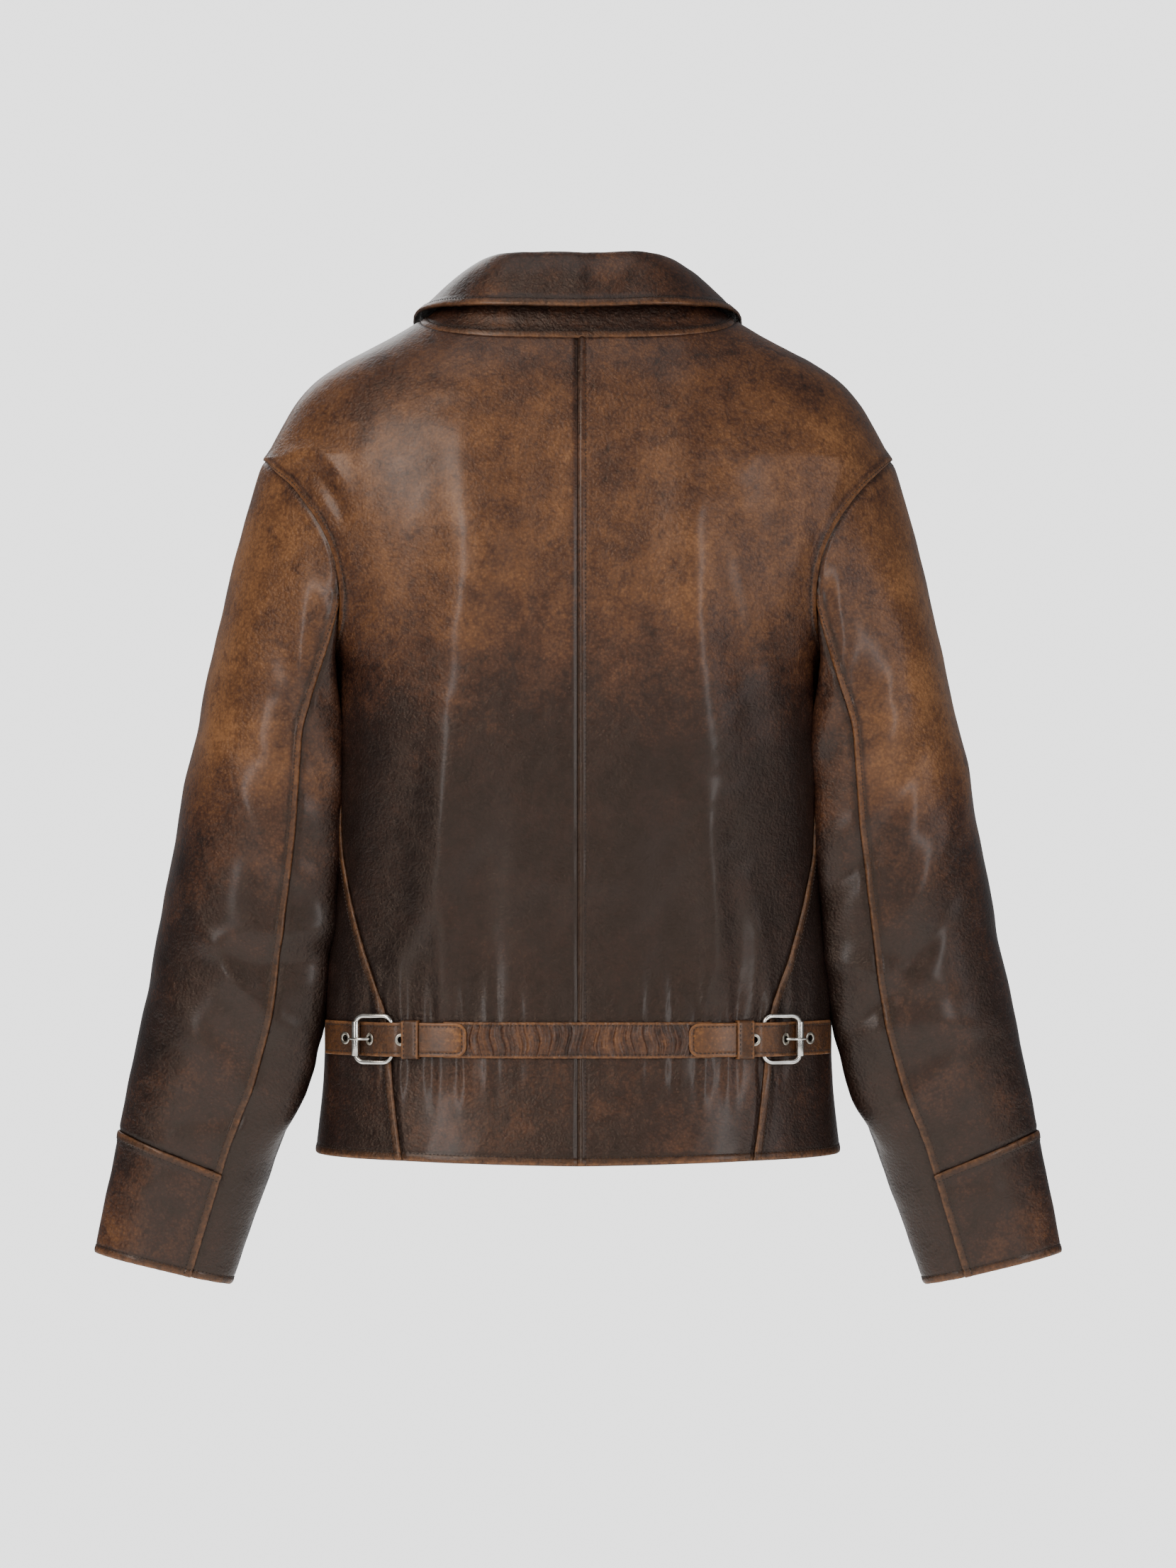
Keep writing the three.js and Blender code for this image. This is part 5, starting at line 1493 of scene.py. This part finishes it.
# %% Metal and textile materials
def plated_metal(name, bright, dull, roughness, scratch_mm):
    material, tree, shader = new_material(name)
    place = add_node(tree, "ShaderNodeTexCoord").outputs["Object"]
    cloud = add_node(tree, "ShaderNodeTexNoise", {
        "Vector": place, "Scale": per_metre(6), "Detail": 4.0, "Roughness": 0.6})
    ramp = add_node(tree, "ShaderNodeValToRGB", {"Fac": cloud.outputs["Fac"]})
    set_ramp(ramp, [(0.3, dull), (0.62, bright)])
    rub = add_node(tree, "ShaderNodeTexNoise", {
        "Vector": place, "Scale": per_metre(scratch_mm), "Detail": 5.0, "Distortion": 2.0})
    gloss = add_node(tree, "ShaderNodeMath", {
        0: rub.outputs["Fac"], 1: 0.16, 2: roughness - 0.08}, operation="MULTIPLY_ADD")
    bump = add_node(tree, "ShaderNodeBump", {
        "Height": rub.outputs["Fac"], "Strength": 0.12, "Distance": 0.0002})
    tree.links.new(ramp.outputs["Color"], shader.inputs["Base Color"])
    tree.links.new(gloss.outputs[0], shader.inputs["Roughness"])
    tree.links.new(bump.outputs["Normal"], shader.inputs["Normal"])
    shader.inputs["Metallic"].default_value = 1.0
    return material


def woven_cloth(name, light, dark, thread_mm, sheen, roughness):
    """Woven cloth: two sets of threads that cross, drawn coarse enough to show."""
    material, tree, shader = new_material(name)
    place = add_node(tree, "ShaderNodeTexCoord").outputs["Object"]
    waves = [add_node(tree, "ShaderNodeTexWave", {
        "Vector": place, "Scale": per_metre(thread_mm) / (2 * math.pi), "Distortion": 0.6},
        wave_type="BANDS", bands_direction=way) for way in ("X", "Z")]
    woven = add_node(tree, "ShaderNodeMath", {
        0: waves[0].outputs["Fac"], 1: waves[1].outputs["Fac"]}, operation="MULTIPLY")
    cloud = add_node(tree, "ShaderNodeTexNoise", {
        "Vector": place, "Scale": per_metre(28), "Detail": 4.0})
    shade = add_node(tree, "ShaderNodeMath", {
        0: cloud.outputs["Fac"], 1: 0.8, 2: woven.outputs[0]}, operation="MULTIPLY_ADD")
    ramp = add_node(tree, "ShaderNodeValToRGB", {"Fac": shade.outputs[0]})
    set_ramp(ramp, [(0.3, dark), (0.95, light)])
    bump = add_node(tree, "ShaderNodeBump", {
        "Height": woven.outputs[0], "Strength": 0.35, "Distance": 0.0003})
    tree.links.new(ramp.outputs["Color"], shader.inputs["Base Color"])
    tree.links.new(bump.outputs["Normal"], shader.inputs["Normal"])
    shader.inputs["Roughness"].default_value = roughness
    shader.inputs["Sheen Weight"].default_value = sheen
    shader.inputs["Sheen Roughness"].default_value = 0.4
    return material


nickel = plated_metal("polished nickel plate", "#d9d6cf", "#a7a49d", 0.2, 2.0)
eyelet_metal = plated_metal("rolled nickel plate", "#bcb6aa", "#7f796e", 0.32, 1.2)
zip_brass = plated_metal("aged cast brass", "#a28850", "#5c4a2a", 0.36, 1.5)
satin = woven_cloth("satin lining", "#4a3327", "#2a1c15", 0.9, 0.35, 0.42)
zip_tape_cloth = woven_cloth("woven zip tape", "#2c2622", "#171311", 1.2, 0.1, 0.85)
print("metals and cloths:", nickel.name, eyelet_metal.name, zip_brass.name, satin.name)


# %% Swept rods, for frames, prongs and rings
def sweep(path, radius, closed=False, sides=16):
    """Verts and faces of a rod along a path; radius may change along it."""
    path = np.asarray(path, float)
    count = len(path)
    radius = np.broadcast_to(np.asarray(radius, float), (count,))
    if closed:
        tangent = np.roll(path, -1, axis=0) - np.roll(path, 1, axis=0)
    else:
        tangent = np.gradient(path, axis=0)
    tangent /= np.linalg.norm(tangent, axis=1, keepdims=True)
    up = np.cross(tangent[0], [0.31, 0.52, 0.79])
    verts = []
    angles = np.linspace(0, 2 * np.pi, sides, endpoint=False)[:, None]
    for i in range(count):
        up = up - tangent[i] * (up @ tangent[i])
        up /= np.linalg.norm(up)
        other = np.cross(tangent[i], up)
        verts.append(path[i] + radius[i] * (np.cos(angles) * up + np.sin(angles) * other))
    verts = list(np.concatenate(verts))
    faces = []
    for i in range(count if closed else count - 1):
        a, b = i * sides, ((i + 1) % count) * sides
        shift = 0
        if closed and i == count - 1:
            gaps = [np.linalg.norm(verts[a] - verts[k]) for k in range(sides)]
            shift = int(np.argmin(gaps))
        faces += [(a + j, a + (j + 1) % sides, b + (j + 1 + shift) % sides, b + (j + shift) % sides)
                  for j in range(sides)]
    if not closed:
        for end, ring in ((0, 0), (-1, (count - 1) * sides)):
            verts.append(path[end] - tangent[end] * (radius[end] * (0.4 if end == 0 else -0.4)))
            tip = len(verts) - 1
            faces += [(ring + j, ring + (j + 1) % sides, tip) for j in range(sides)]
    return np.array(verts), faces


def metal_piece(name, parts, material, nodes, body):
    verts, faces, base = [], [], 0
    for part_verts, part_faces in parts:
        verts.append(part_verts)
        faces += [[v + base for v in face] for face in part_faces]
        base += len(part_verts)
    piece = face_out(new_object(name, np.concatenate(verts), faces, [material]))
    finish_piece(piece, nodes, body)


# %% Buckles: rounded frame, rolled roller and prong
def buckle_path():
    """Round the frame: up the heel bar, across, down the roller bar and back."""
    corner = 6.5
    loop = []
    for centre_reach, centre_z, start in ((1, 1, 0), (-1, 1, 90), (-1, -1, 180), (1, -1, 270)):
        for a in np.radians(start + np.linspace(0, 90, 9)):
            loop.append((centre_reach * (BUCKLE_REACH - corner) + corner * math.cos(a),
                         centre_z * (FRAME_HALF - corner) + corner * math.sin(a)))
    loop = np.array(loop + loop[:1])
    run = run_along(loop)
    return place_at(np.linspace(0, run[-1], 96, endpoint=False), run, loop)


frame_loop = buckle_path()
heights = mix(HEEL_HEIGHT, ROLLER_HEIGHT, (frame_loop[:, 0] + BUCKLE_REACH) / (2 * BUCKLE_REACH))
frame_path, _ = beside(frame_loop[:, 0], heights, frame_loop[:, 1])
straight = ease((12.2 - np.abs(frame_loop[:, 1])) / 1.2) * (np.abs(frame_loop[:, 0]) > BUCKLE_REACH - 1)
frame_radius = mix(FRAME_RADIUS, BAR_RADIUS, straight)

prong_path = [(-12.2, 2.9), (-5, 2.3), (-2, 2), (0.3, 2.4), (2, 4.2), (3.6, 6.6), (6.5, 9),
              (10.5, ROLLER_HEIGHT + ROLLER_RADIUS + 1.2), (14, ROLLER_HEIGHT + ROLLER_RADIUS + 1.35),
              (17.5, ROLLER_HEIGHT + ROLLER_RADIUS + 0.9)]
prong_curve = rounded_line([tuple(beside(r, h)[0]) for r, h in prong_path])(np.linspace(0, 1, 60))
taper = [(0, 1.0), (0.1, 1.0), (0.85, 0.95), (0.96, 0.75), (1, 0.45)]
prong_radius = np.interp(np.linspace(0, 1, 60), *zip(*taper)) * PRONG_RADIUS


def tube_outline(inner, outer, length):
    half, chamfer = length / 2, 0.5
    return [(inner, -half + 0.2), (inner + 0.2, -half), (outer - chamfer, -half), (outer - 0.15, -half + 0.2),
            (outer, -half + chamfer), (outer, half - chamfer), (outer - 0.15, half - 0.2),
            (outer - chamfer, half), (inner + 0.2, half), (inner, half - 0.2)]


def upright_tube(inner, outer, length, centre, side, seam=0.0):
    """A tube that stands along the bar, with a fine seam where its sheet was rolled."""
    verts, faces = lathe(tube_outline(inner, outer, length), sides=48)
    turn = np.degrees(np.arctan2(verts[:, 2], verts[:, 0]))
    radius = np.hypot(verts[:, 0], verts[:, 2])
    dip = 1 - seam * bell(turn - 160, 6) * (radius > (inner + outer) / 2)
    verts = verts * np.stack([dip, np.ones(dip.shape), dip], axis=-1)
    x, y, z = np.array([1.0, 0, 0]), np.array([0, 0, 1.0]), np.array([0, 1.0, 0])
    return flip_side(placed(verts, centre, x, y, z), side), faces


for side, tag in SIDES:
    heel, roller = beside(-BUCKLE_REACH, HEEL_HEIGHT)[0], beside(BUCKLE_REACH, ROLLER_HEIGHT)[0]
    verts, faces = sweep(frame_path, frame_radius, closed=True, sides=18)
    metal_piece(f"buckle_frame_nickel_{tag}", [(flip_side(verts, side), faces)], nickel,
                [f"buckle_frame_{tag}"], "torso")
    metal_piece(f"buckle_roller_nickel_{tag}",
                [upright_tube(BAR_RADIUS + RUN_CLEAR, ROLLER_RADIUS, ROLLER_LENGTH, roller, side, seam=0.08)],
                nickel, [f"buckle_roller_{tag}"], f"roller_{tag}")
    shaft, shaft_faces = sweep(prong_curve, prong_radius, sides=14)
    metal_piece(f"buckle_prong_nickel_{tag}",
                [upright_tube(BAR_RADIUS + RUN_CLEAR, HUB_RADIUS, 4.6, heel, side),
                 (flip_side(shaft, side), shaft_faces)],
                nickel, [f"buckle_prong_{tag}"], f"prong_{tag}")

# %% Eyelets, with rolled rims
half_strap = STRAP_THICK / 2
rim_turn = np.linspace(0, np.pi, 11)
rim_middle, rim_half = (EYELET_OUTER + EYELET_INNER) / 2, (EYELET_OUTER - EYELET_INNER) / 2
rim_points = [(rim_middle + rim_half * math.cos(a), half_strap + 0.05 + (FLANGE_THICK + 0.15) * math.sin(a))
              for a in rim_turn]
eyelet_outline = rim_points + [(EYELET_INNER, -half_strap), (EYELET_INNER + EYELET_WALL, -half_strap),
                               (EYELET_INNER + EYELET_WALL, half_strap)]
for side, tag in SIDES:
    for i, reach in enumerate(eyelet_reaches):
        here, along, outward_way = strap_frame(reach, side)
        verts, faces = lathe(eyelet_outline)
        ring = placed(verts, here, along, outward_way, np.array([0, 0, 1.0]))
        metal_piece(f"eyelet_nickel_{tag}{i + 1}", [(ring, faces)], eyelet_metal,
                    [f"strap_eyelet_{tag}{i + 1}"], "torso")
print("adjusters made for both sides")

# %% [markdown]
# ## Linings and facings
# Inside, each panel is backed by satin, and beside the zip by a strip of the hide. A
# lining could hang free, but it is sewn to the same seams, so each one follows its
# panel's own net and folds, a little further in.

# %% Lining each panel
LINING_IN, LINING_THICK = 3.3, 0.8
FACING_IN, FACING_WIDTH = 5.0, 36.0


def lining_piece(name, net, middle, folds, node, body=None, blend=None, deep=LINING_IN, cloth=None):
    normal = outward(net, middle)
    pleats = 0.35 * ripple(net[..., 0] / 4.5, 61)
    inner = net + normal * (folds - deep + pleats)[..., None]
    plain = np.zeros(net.shape[:2])
    piece = closed_layer(name, inner, normal, LINING_THICK, [cloth or satin],
                         {"tone": plain + 0.3, "wear": plain})
    finish_piece(piece, [node], body, blend)


for side, tag in SIDES:
    for name, base in (("back_lining", back_base), ("side_lining", side_base), ("front_lining", front_base)):
        net = flip_side(base, side)[::2, ::2]
        if name == "front_lining":
            net = net[:, 3:]
        lining_piece(f"{name}_satin_{tag}", net, middle_of_body(net), body_folds(net),
                     f"{name}_{tag}", "torso")
    edge_run = np.abs(front_base[..., 0] - front_base[:, :1, 0])
    last = int(np.argmax(edge_run[len(edge_run) // 2] > FACING_WIDTH))
    net = flip_side(front_base[:, :last], side)
    lining_piece(f"front_facing_leather_{tag}", net, middle_of_body(net), body_folds(net),
                 f"front_facing_{tag}", "torso", deep=FACING_IN, cloth=hide)

    tube = respace(sleeve_net(BACK_SLEEVE_SEAM - 360, BACK_SLEEVE_SEAM, 0.004, 0.985, across=90), 7.0,
                   across=(False, False), down=(False, False))
    point, middle = flip_side(tube[..., :3], side), flip_side(tube[..., 3:6], side)
    lining_piece(f"sleeve_lining_satin_{tag}", point, middle, sleeve_folds(tube[..., 6], tube[..., 7], side),
                 f"sleeve_lining_{tag}", blend=sleeve_blend(side, tag))

# %% [markdown]
# ## Inside the neck
# A half-moon of hide faces the back of the neck, and a short loop is sewn across it.
# The jacket hangs from that loop, so it bows away from the facing to let a hook in.

# %% Neck facing and hanger loop
FACING_HALF, FACING_DROP = 62, 44
NECK_FACING_IN = 3.8 + 1.6
LOOP_HALF, LOOP_RISE, LOOP_HEIGHT, LOOP_THICK, LOOP_Z = 32, 12, 8, 1.6, -8

across = np.linspace(-1, 1, 60)[None, :]
down = np.linspace(0, 1, 22)[:, None]
facing_x = across * FACING_HALF + 0 * down
facing_z = -3 - down * FACING_DROP * np.sqrt(1 - 0.75 * across ** 2)
facing_net = on_body(turn_at_x(facing_x, facing_z), facing_z, NECK_FACING_IN)
facing_net[..., 0] *= np.sign(across)
facing_in = -outward(facing_net, middle_of_body(facing_net))
facing_net = facing_net + facing_in * 1.2
neck_facing = layer_from("back_neck_facing_leather", facing_net, facing_in,
                         [facing_net[0], facing_net[-1], facing_net[:, 0], facing_net[:, -1]],
                         [("foot", 2, -2), ("top", 2, -2)], np.full(facing_x.shape, 0.4), 1.2, [hide, thread])
finish_piece(neck_facing, ["back_neck_facing"], "torso")

loop_face = float(back_depth(LOOP_Z + LOOP_HEIGHT / 2)) - NECK_FACING_IN - 1.2 - 2 * LAY_GAP
loop_rows = np.array([-1, -0.93, -0.8, -0.6, -0.3, 0, 0.3, 0.6, 0.8, 0.93, 1])[:, None]
bow = LOOP_RISE * (1 - np.abs(across) ** 2.4)
loop_net = np.stack([across * LOOP_HALF + 0 * loop_rows, loop_face - bow - LOOP_THICK + 0 * loop_rows,
                     LOOP_Z + loop_rows * LOOP_HEIGHT / 2 + 0 * across], axis=-1)
loop_out = normals_of(loop_net)
loop_out *= -np.sign(loop_out[..., 1].mean())
hanger = layer_from("hanger_loop_leather", loop_net, loop_out, [loop_net[0], loop_net[-1]],
                    [("top", 6, -6), ("foot", 6, -6)], np.full(loop_net.shape[:2], 0.5), LOOP_THICK,
                    [hide, thread], inset=1.5)
finish_piece(hanger, ["hanger_loop"], "torso")

# %% [markdown]
# ## The centre front zip
# Cotton tape carries cast teeth, a small block every 2.9 mm, with the two sides half a
# step apart. On a closed zip the teeth would mesh; here they stop short of the middle, so
# that the slider's web has a clear channel to run down. The slider sits at the top, and
# its puller hangs from the slider's arch.

# %% Zip sizes and its surface
TAPE_IN, TAPE_THICK, TAPE_OUTER = 2.8, 1.1, 13.0
CHAIN_INNER, CHAIN_OUTER, CHAIN_THICK = 0.7, 3.0, 3.6
TOOTH_PITCH = 2.9
SLIDER_HALF, SLIDER_LENGTH, PLATE_THICK, WEB_HALF = 5.0, 13.0, 1.6, 0.4
ZIP_TOP = -FRONT_NECK_DROP - 8
ZIP_FOOT = HEM_Z + 14
chain_middle = TAPE_IN + TAPE_THICK / 2
chain_low, chain_high = chain_middle - CHAIN_THICK / 2, chain_middle + CHAIN_THICK / 2
plate_out, plate_in = chain_low - RUN_CLEAR, chain_high + RUN_CLEAR


def beside_zip(x, inward, z):
    x, inward, z = np.broadcast_arrays(*(np.asarray(v, float) for v in (x, inward, z)))
    return np.stack([x, inward - front_depth(z), z], axis=-1)


def rounded_block(size, bevel):
    """Verts and faces of a block with bevelled edges; size is the full width, depth and height."""
    work = bmesh.new()
    bmesh.ops.create_cube(work, size=1.0)
    bmesh.ops.scale(work, vec=size, verts=work.verts)
    bmesh.ops.bevel(work, geom=list(work.edges), offset=bevel, segments=2, affect="EDGES")
    work.verts.index_update()
    verts = np.array([tuple(v.co) for v in work.verts])
    faces = [[v.index for v in face.verts] for face in work.faces]
    work.free()
    return verts, faces


def moved(part, place):
    return part[0] + place, part[1]


# %% Tapes and teeth
tooth = rounded_block((CHAIN_OUTER - CHAIN_INNER, CHAIN_THICK - 0.5, 1.25), 0.28)
tape_rows = np.linspace(ZIP_TOP, ZIP_FOOT, 150)
for side, tag in SIDES:
    x = np.array([3.3, 3.6, 4.4, 5.4, 6.6, 8.5, 10.5, 12.0, TAPE_OUTER])
    net = beside_zip(x[None, :] * side, TAPE_IN + 0.12 * np.sin(x * 4)[None, :], tape_rows[:, None])
    out = np.zeros(net.shape)
    out[..., 1] = -1
    plain = np.zeros(net.shape[:2])
    tape = closed_layer(f"zip_tape_cotton_{tag}", net, out, TAPE_THICK, [zip_tape_cloth],
                        {"tone": plain, "wear": plain})
    finish_piece(tape, [f"zip_tape_{tag}"], "torso")

    offset = 0.0 if side > 0 else TOOTH_PITCH / 2
    places = np.arange(ZIP_TOP - 1.2 - offset, ZIP_FOOT + 1, -TOOTH_PITCH)
    centre_x = side * (CHAIN_INNER + CHAIN_OUTER) / 2
    teeth = [moved(tooth, beside_zip(centre_x, chain_middle, z)) for z in places]
    cord_path = beside_zip(side * (CHAIN_OUTER - 0.35), chain_middle, np.linspace(ZIP_TOP, ZIP_FOOT, 60))
    teeth.append(sweep(cord_path, 0.55, sides=8))
    metal_piece(f"zip_teeth_brass_{tag}", teeth, zip_brass, [f"zip_chain_{tag}"], "torso")
    print("teeth on side", tag, len(places))

# %% Slider, puller and bottom box
slider_top = ZIP_TOP - 3
slider_middle = slider_top - SLIDER_LENGTH / 2
pin_z = slider_top - 5
pin_in = plate_out - PLATE_THICK - 1.9


def slider_plate(inward):
    """A plate with a waist, wider at its top, with rounded edges."""
    verts, faces = rounded_block((2 * SLIDER_HALF, PLATE_THICK, SLIDER_LENGTH), 0.5)
    share = np.clip(verts[:, 2] / SLIDER_LENGTH + 0.5, 0, 1)
    verts[:, 0] *= mix(0.8, 1.0, share)
    return verts + beside_zip(0, inward, slider_middle), faces


arch_foot = plate_out - PLATE_THICK + 0.4
arch_places = [(arch_foot, 3.4), (pin_in - 1.6, 2.6), (pin_in - 1.9, 0), (pin_in - 1.6, -2.6),
               (arch_foot, -3.4)]
arch = rounded_line([beside_zip(0, inward, pin_z + up) for inward, up in arch_places])
arch_path = arch(np.linspace(0, 1, 24))
web = moved(rounded_block((2 * WEB_HALF, plate_in - plate_out + 0.4, SLIDER_LENGTH - 5), 0.1),
            beside_zip(0, (plate_in + plate_out) / 2, slider_middle))
plates = [slider_plate(plate_out - PLATE_THICK / 2), slider_plate(plate_in + PLATE_THICK / 2)]
metal_piece("zip_slider_nickel", [*plates, web, sweep(arch_path, 0.7, sides=12)],
            nickel, ["zip_slider"], "slider")

PULLER_HALF, PULLER_RING, PULLER_LENGTH, PULLER_BAR = 3.5, 9.0, 32.0, 0.7
ring_turn = np.radians(np.linspace(0, 360, 40, endpoint=False))
ring_path = beside_zip(PULLER_HALF * np.sign(np.cos(ring_turn)) * np.abs(np.cos(ring_turn)) ** 0.5, pin_in,
                       pin_z - PULLER_RING / 2 + PULLER_RING / 2 * np.sign(np.sin(ring_turn))
                       * np.abs(np.sin(ring_turn)) ** 0.5)
ring_path[:, 1] = -front_depth(pin_z) + pin_in
tab_length = PULLER_LENGTH - PULLER_RING
tab_verts, tab_faces = rounded_block((2 * PULLER_HALF, 1.6, tab_length), 0.55)
waist = 1 - 0.22 * bell(tab_verts[:, 2], tab_length / 3)
tab_verts = tab_verts * np.stack([waist, np.ones(waist.shape), np.ones(waist.shape)], axis=-1)
tab_middle = beside_zip(0, pin_in, pin_z)
tab_middle[2] -= PULLER_RING + tab_length / 2
metal_piece("zip_puller_nickel", [sweep(ring_path, PULLER_BAR, closed=True, sides=12),
                                  (tab_verts + tab_middle, tab_faces)],
            nickel, ["zip_puller"], "puller")
box_length = 8.7
bottom = moved(rounded_block((9, chain_high - chain_low + 1.2, box_length), 0.7),
               beside_zip(0, chain_middle, ZIP_FOOT - LAY_GAP - box_length / 2))
metal_piece("zip_bottom_box_brass", [bottom], zip_brass, ["zip_bottom_box"], "torso")
